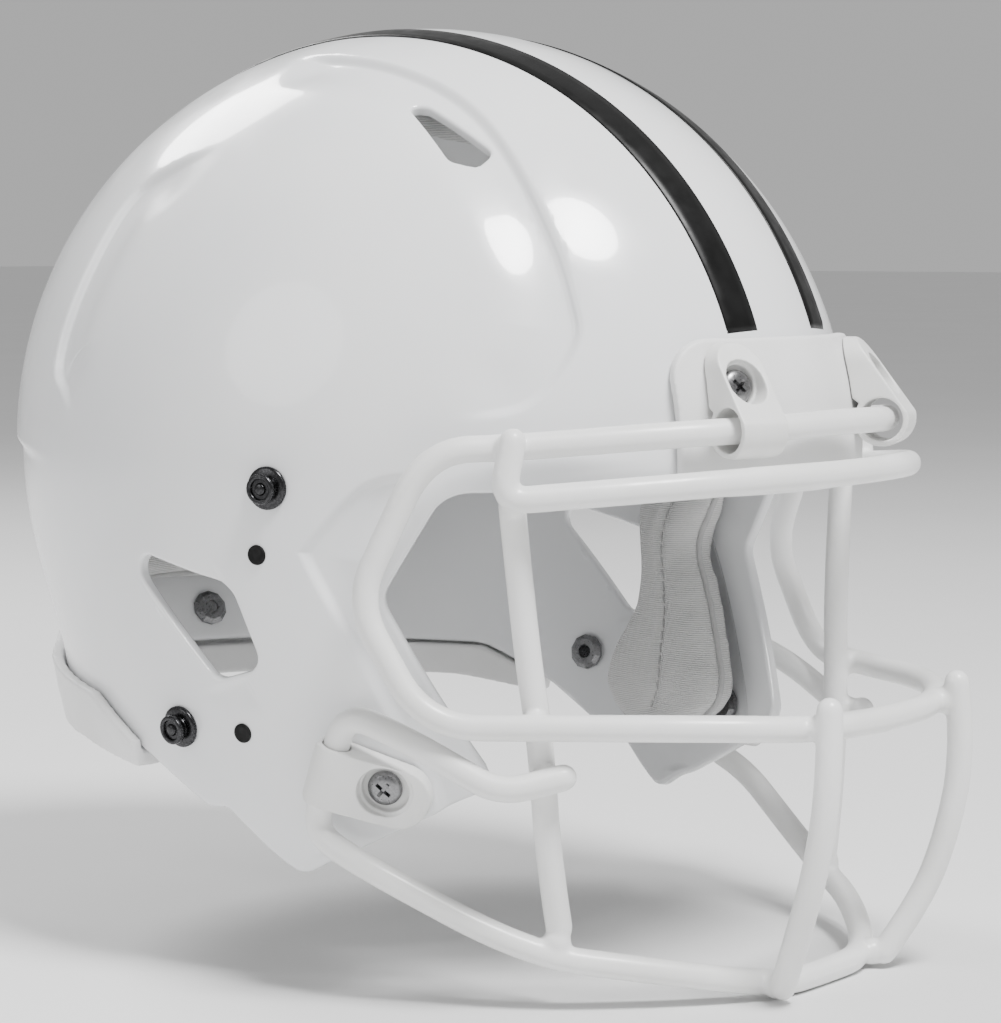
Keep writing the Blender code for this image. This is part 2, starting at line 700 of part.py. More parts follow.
def make_rods(parent, pivot):
    rods = {
        "ring_bar": (mirrored(RING_HALF)[:-1], True),
        "brow_bar": (mirrored(BROW_HALF), False),
        "jaw_bar": (mirrored(JAW_HALF), False),
    }
    for side, word in ((-1, "right"), (1, "left")):
        for name, corners in (("side_bar", SIDE_BAR), ("centre_bar", CENTRE_BAR)):
            rods[f"{name}_{word}"] = ([(side * x, y, z, reach) for x, y, z, reach in corners], False)
    for name, (corners, closed) in rods.items():
        bm = bmesh.new()
        path = closed_path(bent_path(corners + corners[:2])[:-1]) if closed else bent_path(corners)
        tube(bm, path, ROD_RADIUS, closed)
        add_object(name, bm, WHITE_COAT, parent, pivot)


def closed_path(path):
    """Drops the run-in of a closed path, so that it starts and ends on the same point once."""
    start = path[1]
    last = max(range(len(path) // 2, len(path)), key=lambda i: -(path[i] - start).length)
    return path[1:last]


def clip_section(origin, run, out, clearance, length, loop_outer, half_width, thickness):
    """Side view of a clip in (out, run): a loop round a bar at the origin and a plate on the shell."""
    along = out.cross(run)
    plate = []
    steps = 4
    for k in range(steps + 1):
        v = length - (length - 0.75 * loop_outer) * k / steps
        across = [origin + run * v + along * w for w in (-half_width, 0, half_width)]
        beneath = min(height_over_skin(p, out) for p in across)
        plate.append((clearance - beneath, v))
    arc = []
    first, last = 145, 375
    for k in range(13):
        a = math.radians(first + (last - first) * k / 12)
        arc.append((loop_outer * math.cos(a), loop_outer * math.sin(a)))
    front = [(plate[0][0] + thickness, length - 0.002), (plate[0][0] + thickness - 0.002, length)]
    return plate + arc + front


def height_over_skin(p, out):
    """Distance from a point near the shell down to its outer surface, against the direction out."""
    low, high = -0.03, 0.04
    for _ in range(30):
        middle = (low + high) / 2
        if level(p - out * middle) > 1:
            low = middle
        else:
            high = middle
    return low


def make_clip(name, axes, clearance, length, loop, plate, screw, floor, parent, pivot):
    """Loop clip: a strap round a bar, with a plate and a counterbored screw hole."""
    origin, run, out = axes
    inner, outer = loop
    half_width, thickness = plate
    bm = bmesh.new()
    section = clip_section(origin, run, out, clearance, length, outer, half_width, thickness)
    prism(bm, section, origin, out, run, -half_width, half_width)
    clip = add_object(name, bm, CLIP_PLASTIC, parent, pivot)
    site, axis = screw
    bm = bmesh.new()
    along = out.cross(run)
    reach = half_width + 0.004
    turned(bm, [(0, -reach), (inner, -reach), (inner, reach), (0, reach)], origin - pivot, along, 20)
    bore = [(0, -0.004), (SHANK_HOLE, -0.004), (SHANK_HOLE, floor)]
    bore += [(COUNTERBORE, floor), (COUNTERBORE, 0.04), (0, 0.04)]
    turned(bm, bore, site - pivot, axis, 20)
    cut(clip, name + "_holes", bm)


def make_clips(shell_frame, mask_frame, pivot):
    sites = {(name, word): (site, out) for name, word, site, out in screw_sites()}
    for side, word in ((-1, "right"), (1, "left")):
        origin = Vector((side * CLIP_AT.x, CLIP_AT.y, CLIP_AT.z))
        out = Vector((side * math.sin(CLIP_TURN), -math.cos(CLIP_TURN), 0))
        make_clip(
            f"top_clip_{word}", (origin, Vector((0, 0, 1)), out), BUMPER_THICKNESS + GAP, TOP_CLIP_RUN,
            (TOP_LOOP_INNER, TOP_LOOP_OUTER), (TOP_CLIP_HALF_WIDTH, TOP_CLIP_PLATE),
            sites["top_clip", word], BUMPER_THICKNESS + GAP + CLIP_FLOOR, shell_frame, Vector(),
        )
        site, axis = sites["side_clip", word]
        origin, along = side_bar_grip(side)
        run = (along.cross(axis) * side).normalized()
        out = (run.cross(along) * side).normalized()
        make_clip(
            f"side_clip_{word}", (origin, run, out), 2 * GAP, SIDE_CLIP_RUN,
            (SIDE_LOOP_INNER, SIDE_LOOP_OUTER), (SIDE_CLIP_HALF_WIDTH, SIDE_CLIP_PLATE),
            (site, axis), 2 * GAP + CLIP_FLOOR, mask_frame, pivot,
        )
        pan_screw(f"side_clip_screw_{word}", site, axis, 3 * GAP + CLIP_FLOOR, GAP, mask_frame, pivot)


def side_bar_grip(side):
    """Middle and downward direction of the straight run of the jaw bar that a side clip holds."""
    top, bottom = (Vector((side * c[0], c[1], c[2])) * MM for c in (JAW_HALF[6], JAW_HALF[5]))
    return (top + bottom) / 2, (bottom - top).normalized()


# ---------------------------------------------------------------- liner pads


def add_pad(name, columns, rows, point, parent):
    """Liner pad between two offsets from the shell; point(a, b, offset) takes a and b from 0 to 1."""
    bm = bmesh.new()
    outer = -SHELL_THICKNESS - PAD_CLEARANCE
    inner = outer - PAD_THICKNESS
    slab(
        bm, columns, rows,
        lambda i, j: point(i / columns, j / rows, inner),
        lambda i, j: point(i / columns, j / rows, outer),
    )
    add_object(name, bm, LINER, parent)


def blend_pair(pair, t):
    return pair[0] + (pair[1] - pair[0]) * t


def make_pads(parent):
    for name, (turns, heights) in BELT_PADS.items():

        def belt(a, b, offset):
            return belt_point(blend_pair(turns, a), blend_pair(heights, b), offset)

        add_pad(name, 7, 4, belt, parent)

    def crown(a, b, offset):
        across, angles = CROWN_PAD
        return ring_point(blend_pair(across, a), blend_pair(angles, b), offset)

    add_pad("crown_pad", 5, 5, crown, parent)
    for side, word in ((-1, "right"), (1, "left")):

        def jaw(a, b, offset):
            z = blend_pair(JAW_PAD_HEIGHTS, b)
            front, rear = between_down(z, JAW_PAD_FRONT), between_down(z, JAW_PAD_REAR)
            return side_point(side, blend_pair((front, rear), a), z, offset)

        add_pad(f"jaw_pad_{word}", 4, 8, jaw, parent)


def between_down(z, stops):
    """y at height z on a line through (z, y) stops that go down, in metres."""
    stops = [(a * MM, b * MM) for a, b in stops]
    for (z0, y0), (z1, y1) in zip(stops, stops[1:]):
        if z >= z1:
            return y0 + (y1 - y0) * (z - z0) / (z1 - z0)
    return stops[-1][1]


def main():
    clear_scene()
    helmet_frame = make_empty("helmet_frame", DOME_CENTRE)
    pivot = Vector((0, CLIP_AT.y, CLIP_AT.z))
    mask_frame = make_empty("facemask_pivot", DOME_CENTRE + pivot)
    make_shell(helmet_frame)
    make_stripes(helmet_frame)
    make_front_bumper(helmet_frame)
    make_rear_bumper(helmet_frame)
    make_fasteners(helmet_frame)
    make_pads(helmet_frame)
    make_rods(mask_frame, pivot)
    make_clips(helmet_frame, mask_frame, pivot)


main()
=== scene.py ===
"""Looks of an American football helmet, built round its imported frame.

A trimmed and creased shell with vinyl stripes, moulded bumpers and clips, a dip-coated wire facemask, screws,
snap posts, valves and sewn liner pads. Sizes are in metres, or in millimetres where a comment says so, and
angles are in degrees. Shapes on the shell are drawn in the dome's own frame: its origin is the dome's centre,
+X points to the wearer's left and -Y the way the wearer looks.
"""

import json
import math
from functools import cache

import bmesh
import bpy
import numpy as np
from mathutils import Matrix, Vector
from mathutils.bvhtree import BVHTree


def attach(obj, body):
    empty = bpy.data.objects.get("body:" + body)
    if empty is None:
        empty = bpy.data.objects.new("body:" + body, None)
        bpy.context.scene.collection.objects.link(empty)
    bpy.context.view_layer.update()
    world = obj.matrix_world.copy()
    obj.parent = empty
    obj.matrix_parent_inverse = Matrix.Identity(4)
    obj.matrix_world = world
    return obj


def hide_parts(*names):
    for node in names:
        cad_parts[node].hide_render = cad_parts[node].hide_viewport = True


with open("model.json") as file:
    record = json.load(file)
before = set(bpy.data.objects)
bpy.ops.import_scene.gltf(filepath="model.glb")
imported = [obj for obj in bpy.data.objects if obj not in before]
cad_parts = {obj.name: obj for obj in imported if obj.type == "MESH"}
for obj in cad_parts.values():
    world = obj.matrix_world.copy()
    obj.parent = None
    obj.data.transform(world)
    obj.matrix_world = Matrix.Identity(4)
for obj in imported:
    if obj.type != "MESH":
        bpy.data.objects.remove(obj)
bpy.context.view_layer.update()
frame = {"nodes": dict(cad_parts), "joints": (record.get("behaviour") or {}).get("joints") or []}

MM = 0.001
SIDES = ((-1, "right"), (1, "left"))
MIRRORED_AXES = np.array((True, False, False))

# The facemask's hinge line gives the dome's centre.
HINGE_IN_DOME = np.array((0.0, -0.1499, 0.0115))
DOME_CENTRE = np.array(frame["joints"][0]["pos_m"]) - HINGE_IN_DOME

# Dome, as in the CAD: an ellipsoid whose lower half reaches further down at the sides.
HALF_WIDTH = 0.1149
HALF_LENGTH = 0.1452
DOME_HEIGHT = 0.1336
FLAP_REACH = 0.250
REAR_RAMP = (18.0, 80.0)
FRONT_RAMP = 38.0
SHELL_THICKNESS = 0.004
SHELL_CELLS = 116
REFINE_STEP = 0.00016
RIM_ROUND = 0.0012

# Edges of the shell, seen from the side: (y, z, corner radius) in millimetres.
BROW_Z = -5.5
FACE_OPENING = [(-190, BROW_Z, 0), (-82, BROW_Z - 1, 12), (-63.5, -38, 8), (-90.5, -93, 7), (-30, -124, 7)]
LOWER_EDGE = [(-20.5, -117, 3), (-6.5, -104.5, 3), (1, -105, 3), (24, -91, 9), (50, -79, 20), (190, -74, 0)]
BELOW = [(190, -260, 0), (-190, -260, 0)]
EAR_HOLE = [(21.5, -27.5, 4), (20.5, -35.5, 5), (-8.5, -65, 6), (-25.5, -60, 5), (-16, -36, 9)]
VENT_CENTRE = (-0.056, 0.0985)
VENT_DOWN = np.array((0.0, -0.86, -0.51))
VENT_OUTLINE = [(-18.5, 3, 2.2), (-13, 7, 2.2), (17, 6.5, 3), (18, -1.5, 3), (11, -6, 4)]
OUTLINE_FACETS = 10

# Creases of the moulded panels on the wearer's left: (x, y, z) in millimetres. The surface steps down on the
# left of the way the points run, seen from outside, by depth, and comes back over the recovery.
CREASES = [
    {"depth": 2.5, "recovery": 24, "taper": (0.10, 0.12), "points": [
        (40.9, 19, 123.6), (46.7, -28, 119.3), (51.6, -62.3, 104.7), (60.6, -92.8, 74.7),
        (64.4, -106.3, 51.6), (67.8, -110.5, 35.9), (80.4, -101.9, 18.1), (94.3, -81.2, 13)]},
    {"depth": 2.3, "recovery": 24, "taper": (0.20, 0.25), "points": [
        (106.8, 52.7, 8.5), (102.7, 62.2, 18), (97.6, 70.1, 28.5), (90.6, 61.2, 59.8), (82.5, 51.5, 80),
        (80.6, 36.3, 89.2), (79.3, 11.4, 96.1)]},
    {"depth": 2.2, "recovery": 110, "taper": (0.0, 0.55), "points": [
        (0, 145, 3), (30, 140, 3), (58.5, 125, 2.5), (85, 97, 1), (103, 62, -3)]},
    {"depth": 2.2, "recovery": 20, "taper": (0.10, 0.08), "points": [
        (99.2, -26.9, -117.2), (97.2, -38.9, -115.2), (94.7, -48.3, -114.5), (88.4, -69.8, -105),
        (89.5, -73.5, -95), (97.5, -64, -73.4), (104.5, -52.9, -50), (109.5, -41, -27.5),
        (109.6, -41.4, -22.5), (105.4, -57.6, -5.4), (100.9, -69.5, -0.5), (98, -76, 1)]},
    {"depth": 1.1, "recovery": 13, "taper": (0.5, 0.2), "points": [
        (114.2, -8.1, -24.1), (112.8, -16.6, -37.6), (112, -20.5, -45)]},
    {"depth": 1.1, "recovery": 13, "taper": (0.5, 0.2), "points": [
        (110.5, 1.3, -68.6), (110.6, -12.8, -64.4), (111, -20, -61)]},
]
CREASE_HIGH_SIDE = 0.8
CREASE_LOW_SIDE = 3.6

# Stripes, with their ring angles at the front and at the back.
STRIPE_INNER = 0.0151
STRIPE_WIDTH = 0.0121
STRIPE_LIFT = 0.00005
STRIPE_THICKNESS = 0.0004
STRIPE_ANGLES = (164.0, -22.0)

# Bumpers. The rear one's edges are (y, z) in millimetres.
BUMPER_THICKNESS = 0.0042
BUMPER_HALF_WIDTH = 0.049
BUMPER_TOP = 0.0375
BUMPER_CORNER = 0.013
BUMPER_LIP = 0.003
BUMPER_INSIDE = 0.0050
BROW_CROWN = 0.0003
BROW_VOXEL = 0.0006
NAPE_VOXEL = 0.0007
REAR_BUMPER_TURN = 76.0
REAR_RIM = [(24, -91), (50, -79), (190, -74)]
REAR_TOP = [(22, -89.5), (47, -73.6), (105, -67.5), (117, -60), (140, -60)]
REAR_BOTTOM = [(20, -96), (58, -90), (140, -86)]

# Facemask rods from the middle out to the left side, in millimetres: (x, y, z) on a smooth bend, or (x, y, z,
# reach) where the bend is tighter.
ROD_RADIUS = 0.004
RING_HALF = [
    (0, -155.5, 12.3), (30, -155.2, 11.8), (60, -139, 10.8), (89.5, -103.5, 7.2), (106, -84, 6.5, 16),
    (113.5, -64.5, -37.5, 12), (107.5, -84.5, -72.4, 16), (88, -114, -72.4), (63, -154.5, -72),
    (33, -172.5, -74.2), (0, -173, -75),
]
BROW_HALF = [
    (0, -161.5, -2.5), (35, -160, -2.1), (70, -141, -3.9), (99.5, -106, -7.4, 7), (96.5, -107.7, 9.4),
]
JAW_HALF = [
    (0, -152.5, -153.6), (26, -152.5, -153), (60, -127.5, -145.4), (82, -102.5, -140.5),
    (104.5, -58.5, -115.4, 12), (105.2, -41, -107.8, 9), (108, -56.0, -70.5, 9), (105, -76, -77, 12),
    (97.5, -104, -91, 8), (84, -116.5, -86.9),
]
JAW_RUN_IN_CLIP = JAW_HALF[5:7]
SIDE_BAR = [
    (91.3, -103.6, -8.9), (86.2, -104.5, -47.6), (82.3, -107.5, -79.5), (79.8, -108.1, -111.2),
    (74.8, -108.5, -133.1),
]
CENTRE_BAR = [
    (37.5, -176.6, -67.9), (39.5, -177.9, -89.2), (38.8, -173.3, -114.2), (36.7, -165.7, -136.1),
    (29.5, -156.7, -152.2),
]
WELD_REACH = 0.0095
WELD_SPACING = 0.015
WELD_RADIUS = 0.0043
CAGE_VOXEL = 0.00065

# Clips. CLIP_AT is where the left top clip holds the hinge line, and CLIP_TURN how far it faces outwards.
CLIP_AT = HINGE_IN_DOME + (0.039, 0.0, 0.0)
CLIP_TURN = 20.3
CLIP_VOXEL = 0.00035
CLIP_FLOOR = 0.0026
CUT_THROUGH = 0.04
# Pocket round a clip's screw: half width and half length over the clip's own, shift, height over its floor.
POCKET_STEPS = ((0.70, 0.76, 0.0004, 0.0), (0.80, 0.86, 0.0008, 0.0024))
TOP_CLIP = {"clearance": 0.0045, "length": 0.0250, "loop": (0.0066, 0.0084), "plate": (0.008, 0.0055)}
SIDE_CLIP = {"clearance": 0.0006, "length": 0.0310, "loop": (0.0043, 0.0061), "plate": (0.0095, 0.0050)}
TOP_SCREW = (0.0342, 0.0221)
SIDE_SCREW = (-0.0616, -0.0925)

# Snaps and valves by (y, z) on the side of the shell, rear screws, and heights over the shell in millimetres.
SNAPS = {"upper": (-0.0304, -0.0062), "lower": (0.0076, -0.0803)}
VALVES = {"upper": (-0.0261, -0.0261), "lower": (-0.0164, -0.0803)}
REAR_SCREW_TURN = 13.0
REAR_SCREW_Z = -0.0665
TOP_SEAT = 7.4
SIDE_SEAT = 3.5
REAR_SEAT = 4.7
SCREW_TIP = -7.0
SHORT_TIP = 0.4

# Liner pads: seams by depth and width, places as (turns from the front, heights) or (x, ring angles), and the
# jaw pads' edges as stops of (z, y) in millimetres.
PAD_TOP = 0.0085
PAD_THICKNESS = 0.0185
PAD_MIDDLE = PAD_TOP + 0.5 * PAD_THICKNESS
PAD_VOXEL = 0.0042
SEAM = (0.0016, 0.0022)
EDGE_SEAM = (0.0008, 0.0024)
STITCH_PITCH = 0.0042
STITCH_LENGTH = 0.0028
THREAD_RADIUS = 0.00028
PIPING_RADIUS = 0.0010
BELT_PADS = {
    "front_pad": ((-40, 40), (0.006, 0.060)),
    "rear_pad": ((144, 216), (0.002, 0.064)),
    "nape_pad": ((140, 220), (-0.060, -0.006)),
    "side_pad_left": ((50, 132), (0.010, 0.072)),
    "side_pad_right": ((-132, -50), (0.010, 0.072)),
}
CROWN_PAD = ((-0.048, 0.048), (60, 126))
JAW_PAD_HEIGHTS = (-0.010, -0.106)
JAW_PAD_FRONT = [(-106, -52), (-96, -76), (-88, -81), (-38, -57), (-10, -74)]
JAW_PAD_REAR = [(-106, -22), (-92, -12), (-80, -14), (-60, -27), (-45, -28), (-30, -24), (-10, -25)]

# Camera, placed from the dome's centre, with its lens in millimetres over a frame 36 mm high.
CAMERA_AT = (-0.8188, -0.6423, 0.0656)
CAMERA_AZIMUTH = -53.276
CAMERA_ELEVATION = 4.825
CAMERA_LENS = 112.61


# ---- surface of the dome


def ease(t):
    """Smooth step from 0 to 1 with no jump in slope or curvature."""
    t = np.clip(t, 0.0, 1.0)
    return t**3 * (t * (6 * t - 15) + 10)


def level(p):
    """1 on the shell's plain outer surface, less inside, more outside, for rows of points."""
    x, y, z = p[..., 0], p[..., 1], p[..., 2]
    below = np.degrees(np.arctan2(-z, y))
    grown = ease((below - REAR_RAMP[0]) / (REAR_RAMP[1] - REAR_RAMP[0])) * ease((180 - below) / FRONT_RAMP)
    reach = DOME_HEIGHT + (FLAP_REACH - DOME_HEIGHT) * np.where(z < 0, grown, 0.0)
    return (x / HALF_WIDTH) ** 2 + (y / HALF_LENGTH) ** 2 + (z / reach) ** 2


def slope(function, p, step=0.0002):
    """Gradient of a function of points, by central differences."""
    steps = np.eye(3) * step
    return np.stack([function(p + e) - function(p - e) for e in steps], -1) / (2 * step)


def unit(v):
    return v / np.maximum(np.linalg.norm(v, axis=-1, keepdims=True), 1e-12)


def normal_at(p):
    return unit(slope(level, p))


def onto_skin(p):
    """Moves points along their line from the dome's centre onto the plain outer surface."""
    return p / np.sqrt(level(p))[..., None]


def halved(holds, low, high, shape, passes=40):
    """The greatest values between low and high at which a test still holds, by bisection."""
    low, high = np.full(shape, low), np.full(shape, high)
    for _ in range(passes):
        middle = (low + high) / 2
        below = holds(middle)
        low = np.where(below, middle, low)
        high = np.where(below, high, middle)
    return low[..., None]


def cast(start, direction):
    """Where rays from inside meet the plain outer surface, for (x, y, z) of numbers or arrays."""
    start, direction = np.broadcast_arrays(stack(*start), stack(*direction))
    reach = halved(lambda t: level(start + t[..., None] * direction) < 1, 0.0, 0.3, start.shape[:-1])
    return start + reach * direction


def stack(*parts):
    return np.stack(np.broadcast_arrays(*[np.asarray(part, float) for part in parts]), -1)


def ring_point(x, angle):
    """Point on the ring at x, at an angle in degrees: 0 at the back, 90 on top, 180 at the front."""
    a = np.radians(angle)
    return cast((x, 0, 0), (0, np.cos(a), np.sin(a)))


def belt_point(turn, z):
    """Point at height z, turned in degrees from the front (0) to the wearer's left (90) and back (180)."""
    a = np.radians(turn)
    return cast((0, 0, z), (np.sin(a), -np.cos(a), 0))


def side_point(side, y, z):
    return cast((0, y, z), (side, 0, 0))


def front_point(x, z):
    return cast((x, 0, z), (0, -1, 0))


def spline(points, steps=10):
    """Smooth line through points (Catmull-Rom)."""
    p = np.asarray(points, float)
    p = np.vstack([2 * p[0] - p[1], p, 2 * p[-1] - p[-2]])
    t = np.linspace(0, 1, steps, endpoint=False)[:, None]
    runs = []
    for a, b, c, d in zip(p, p[1:], p[2:], p[3:]):
        runs.append(0.5 * (2 * b + (c - a) * t + (2 * a - 5 * b + 4 * c - d) * t**2
                           + (3 * b - a - 3 * c + d) * t**3))
    return np.vstack(runs + [p[-2:-1]])


def path_lengths(line):
    """How far along a line of points each of its points lies."""
    return np.concatenate([[0], np.cumsum(np.linalg.norm(np.diff(line, axis=0), axis=1))])


def to_line(points, line):
    """Distance to a line of points, with the number of the nearest leg and the share along it."""
    nearest = np.full(len(points), np.inf)
    number = np.zeros(len(points), int)
    share = np.zeros(len(points))
    for i, (a, b) in enumerate(zip(line, line[1:])):
        leg = b - a
        t = np.clip((points - a) @ leg / max(leg @ leg, 1e-18), 0, 1)
        distance = np.linalg.norm(points - a - t[:, None] * leg, axis=1)
        closer = distance < nearest - 1e-9
        nearest[closer] = distance[closer]
        number[closer] = i
        share[closer] = t[closer]
    return nearest, number, share


def crease_depth(p, normals, crease):
    """How far one crease presses in the surface at points folded onto the wearer's left."""
    line = onto_skin(spline(np.array(crease["points"]) * MM))
    length = path_lengths(line)
    reach = (crease["recovery"] + CREASE_LOW_SIDE) * MM
    near = np.flatnonzero(((p > line.min(0) - reach) & (p < line.max(0) + reach)).all(1))
    distance, number, t = to_line(p[near], line)
    leg = np.diff(line, axis=0)[number]
    gap = p[near] - line[number] - t[:, None] * leg
    across = np.sign((gap * np.cross(normals[near], leg)).sum(1)) * distance / MM
    share = (length[number] + t * np.linalg.norm(leg, axis=1)) / length[-1]
    fade = np.ones(len(near))
    for taper, from_end in zip(crease["taper"], (share, 1 - share)):
        if taper:
            fade = fade * ease(from_end / taper)
    step = ease((across + CREASE_HIGH_SIDE) / (CREASE_HIGH_SIDE + CREASE_LOW_SIDE))
    back = 1 - ease((across - CREASE_LOW_SIDE) / crease["recovery"])
    pressed = np.zeros(len(p))
    pressed[near] = crease["depth"] * MM * fade * step * back
    return pressed


def pressed_in(p):
    """Depth of all creases at points on the plain surface."""
    flip = np.where((p < 0) & MIRRORED_AXES, -1.0, 1.0)
    folded, normals = p * flip, normal_at(p) * flip
    return np.max([crease_depth(folded, normals, crease) for crease in CREASES], axis=0)


def on_shell(p, offset=0.0):
    """Points on the plain surface, pressed in by the creases and lifted by an offset, in the world."""
    flat = p.reshape(-1, 3)
    lift = np.broadcast_to(np.asarray(offset, float), p.shape[:-1]).reshape(-1) - pressed_in(flat)
    return (flat + normal_at(flat) * lift[:, None]).reshape(p.shape) + DOME_CENTRE


# ---- mesh helpers


def add_object(name, data):
    obj = bpy.data.objects.new(name, data)
    bpy.context.scene.collection.objects.link(obj)
    return obj


def new_mesh_object(name, points, faces):
    mesh = bpy.data.meshes.new(name)
    mesh.from_pydata([tuple(p) for p in np.asarray(points)], [], faces)
    mesh.update()
    mesh.shade_smooth()
    return add_object(name, mesh)


def bake_modifiers(obj):
    """Turns the object, as its modifiers leave it, into its own mesh."""
    bpy.context.view_layer.update()
    mesh = bpy.data.meshes.new_from_object(obj.evaluated_get(bpy.context.evaluated_depsgraph_get()))
    obj.modifiers.clear()
    obj.data = mesh
    mesh.shade_smooth()
    return obj


def finish_piece(obj, body, material, replaced):
    """Gives a piece its material and tells the frame what it is."""
    obj.data.materials.clear()
    obj.data.materials.append(material)
    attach(obj, body)
    if replaced:
        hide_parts(*replaced)


def rounded_outline(corners, facets=OUTLINE_FACETS):
    """2-D outline from (u, v, radius) corners in millimetres, each rounded by an arc."""
    points = []
    for i, (u, v, radius) in enumerate(corners):
        corner = Vector((u, v))
        before = (Vector(corners[i - 1][:2]) - corner).normalized()
        after = (Vector(corners[(i + 1) % len(corners)][:2]) - corner).normalized()
        half = before.angle(after) / 2
        centre = corner + (before + after).normalized() * radius / math.sin(half)
        start, end = (corner + leg * radius / math.tan(half) - centre for leg in (before, after))
        sweep = start.angle_signed(end, 0)
        for k in range(facets + 1 if radius else 1):
            points.append((centre + Matrix.Rotation(-sweep * k / facets, 2) @ start) * MM)
    return np.array(points)


def turned(profile, centre, axis, segments):
    """Points and faces of a lathed body: (radius, height) along the axis, closed on the axis at both ends."""
    axis = Vector(axis).normalized()
    across = axis.orthogonal().normalized()
    beside = axis.cross(across)
    points, loops = [], []
    for radius, height in profile:
        base = Vector(centre) + axis * height
        count = 1 if radius == 0 else segments
        loops.append([len(points) + k for k in range(count)])
        for k in range(count):
            a = 2 * math.pi * k / segments
            points.append(base + radius * (across * math.cos(a) + beside * math.sin(a)))
    faces = []
    for lower, upper in zip(loops, loops[1:]):
        for k in range(segments):
            n = (k + 1) % segments
            corners = [lower[i % len(lower)] for i in (k, n)] + [upper[i % len(upper)] for i in (n, k)]
            faces.append(list(dict.fromkeys(corners)))
    return points, faces


def lofted(loops):
    """Points and faces of a closed body through loops of points, capped at both ends."""
    count = len(loops[0])
    last = (len(loops) - 1) * count
    faces = [list(range(count)), list(range(last, last + count))[::-1]]
    for start in range(0, last, count):
        for k in range(start, start + count):
            n = start + (k + 1) % count
            faces.append([k, k + count, n + count, n])
    return np.concatenate(loops), faces


def prism(outline, origin, u, v, low, high):
    """Points and faces of a closed prism over a 2-D outline: origin + u * a + v * b, from low to high."""
    flat = np.asarray(origin) + np.asarray(outline) @ np.array((u, v))
    return lofted([flat + np.cross(u, v) * height for height in (low, high)])


def solid(name, body):
    """Object from (points, faces), with its faces turned outwards."""
    obj = new_mesh_object(name, *body)
    bm = bmesh.new()
    bm.from_mesh(obj.data)
    bmesh.ops.recalc_face_normals(bm, faces=bm.faces)
    bm.to_mesh(obj.data)
    bm.free()
    return obj


def combine(obj, body, operation="DIFFERENCE"):
    """Boolean of a solid with a body of points and faces."""
    other = solid("cutter", body)
    boolean = obj.modifiers.new("cut", "BOOLEAN")
    boolean.operation = operation
    boolean.solver = "EXACT"
    boolean.object = other
    bake_modifiers(obj)
    bpy.data.objects.remove(other)


def melt(obj, voxel, passes):
    """Rounds a solid off by voxels of a size, then smooths it."""
    remesh = obj.modifiers.new("voxels", "REMESH")
    remesh.mode = "VOXEL"
    remesh.voxel_size = voxel
    smooth = obj.modifiers.new("smooth", "SMOOTH")
    smooth.factor = 0.5
    smooth.iterations = passes
    return bake_modifiers(obj)


# ---- shell


def cube_sphere(cells):
    """Directions on a sphere and their quads, from a cube with each side cut in cells, so with no poles."""
    bm = bmesh.new()
    bmesh.ops.create_cube(bm, size=2)
    bmesh.ops.subdivide_edges(bm, edges=bm.edges, cuts=cells - 1, use_grid_fill=True)
    bm.verts.index_update()
    directions = unit(np.tan(np.array([vertex.co for vertex in bm.verts]) * math.pi / 4))
    quads = np.array([[vertex.index for vertex in face.verts] for face in bm.faces])
    bm.free()
    return directions, quads


def outline_distance(points, outline):
    """Distance in 2-D to a closed outline, negative inside it."""
    flat = points.reshape(-1, 2)
    distance, _, _ = to_line(flat, np.vstack([outline, outline[:1]]))
    inside = np.zeros(len(flat), bool)
    for (u, v), (next_u, next_v) in zip(outline, np.roll(outline, -1, 0)):
        if v != next_v:
            spans = (v > flat[:, 1]) != (next_v > flat[:, 1])
            inside ^= spans & (flat[:, 0] < (next_u - u) * (flat[:, 1] - v) / (next_v - v) + u)
    return np.where(inside, -distance, distance).reshape(points.shape[:-1])


def vent_frame():
    """Centre and axes of the left crown vent: u runs down towards the brow, v up towards the middle line."""
    centre = side_point(1, *VENT_CENTRE)
    out = normal_at(centre)
    u = unit(VENT_DOWN - out * (out @ VENT_DOWN))
    return centre, u, np.cross(u, out), out


OPENING_OUTLINE = rounded_outline(FACE_OPENING + LOWER_EDGE + BELOW)
EAR_OUTLINE = rounded_outline(EAR_HOLE)
VENT_EDGE = rounded_outline(VENT_OUTLINE)
VENT_FRAME = vent_frame()


def kept(p):
    """Distance from points on the plain surface to the start of the rounded rim, negative in an opening."""
    sideways = p[..., 1:]
    nearest = np.minimum(outline_distance(sideways, OPENING_OUTLINE), outline_distance(sideways, EAR_OUTLINE))
    centre, u, v, out = VENT_FRAME
    from_vent = np.where(MIRRORED_AXES, np.abs(p), p) - centre
    to_vent = outline_distance(np.stack((from_vent @ u, from_vent @ v), -1), VENT_EDGE)
    to_vent = np.where(np.abs(from_vent @ out) < 0.03, to_vent, np.inf)
    return np.minimum(nearest, to_vent) - RIM_ROUND


def tangent_slope(p):
    normals = normal_at(p)
    fall = slope(kept, p, 0.00005)
    return fall - normals * (fall * normals).sum(-1, keepdims=True)


def onto_rim(p):
    """Moves points along the surface to where the rounded rim starts."""
    for _ in range(4):
        fall = tangent_slope(p)
        size = np.maximum((fall * fall).sum(-1), 0.05)
        p = onto_skin(p - fall * (kept(p) / size)[:, None])
    return p


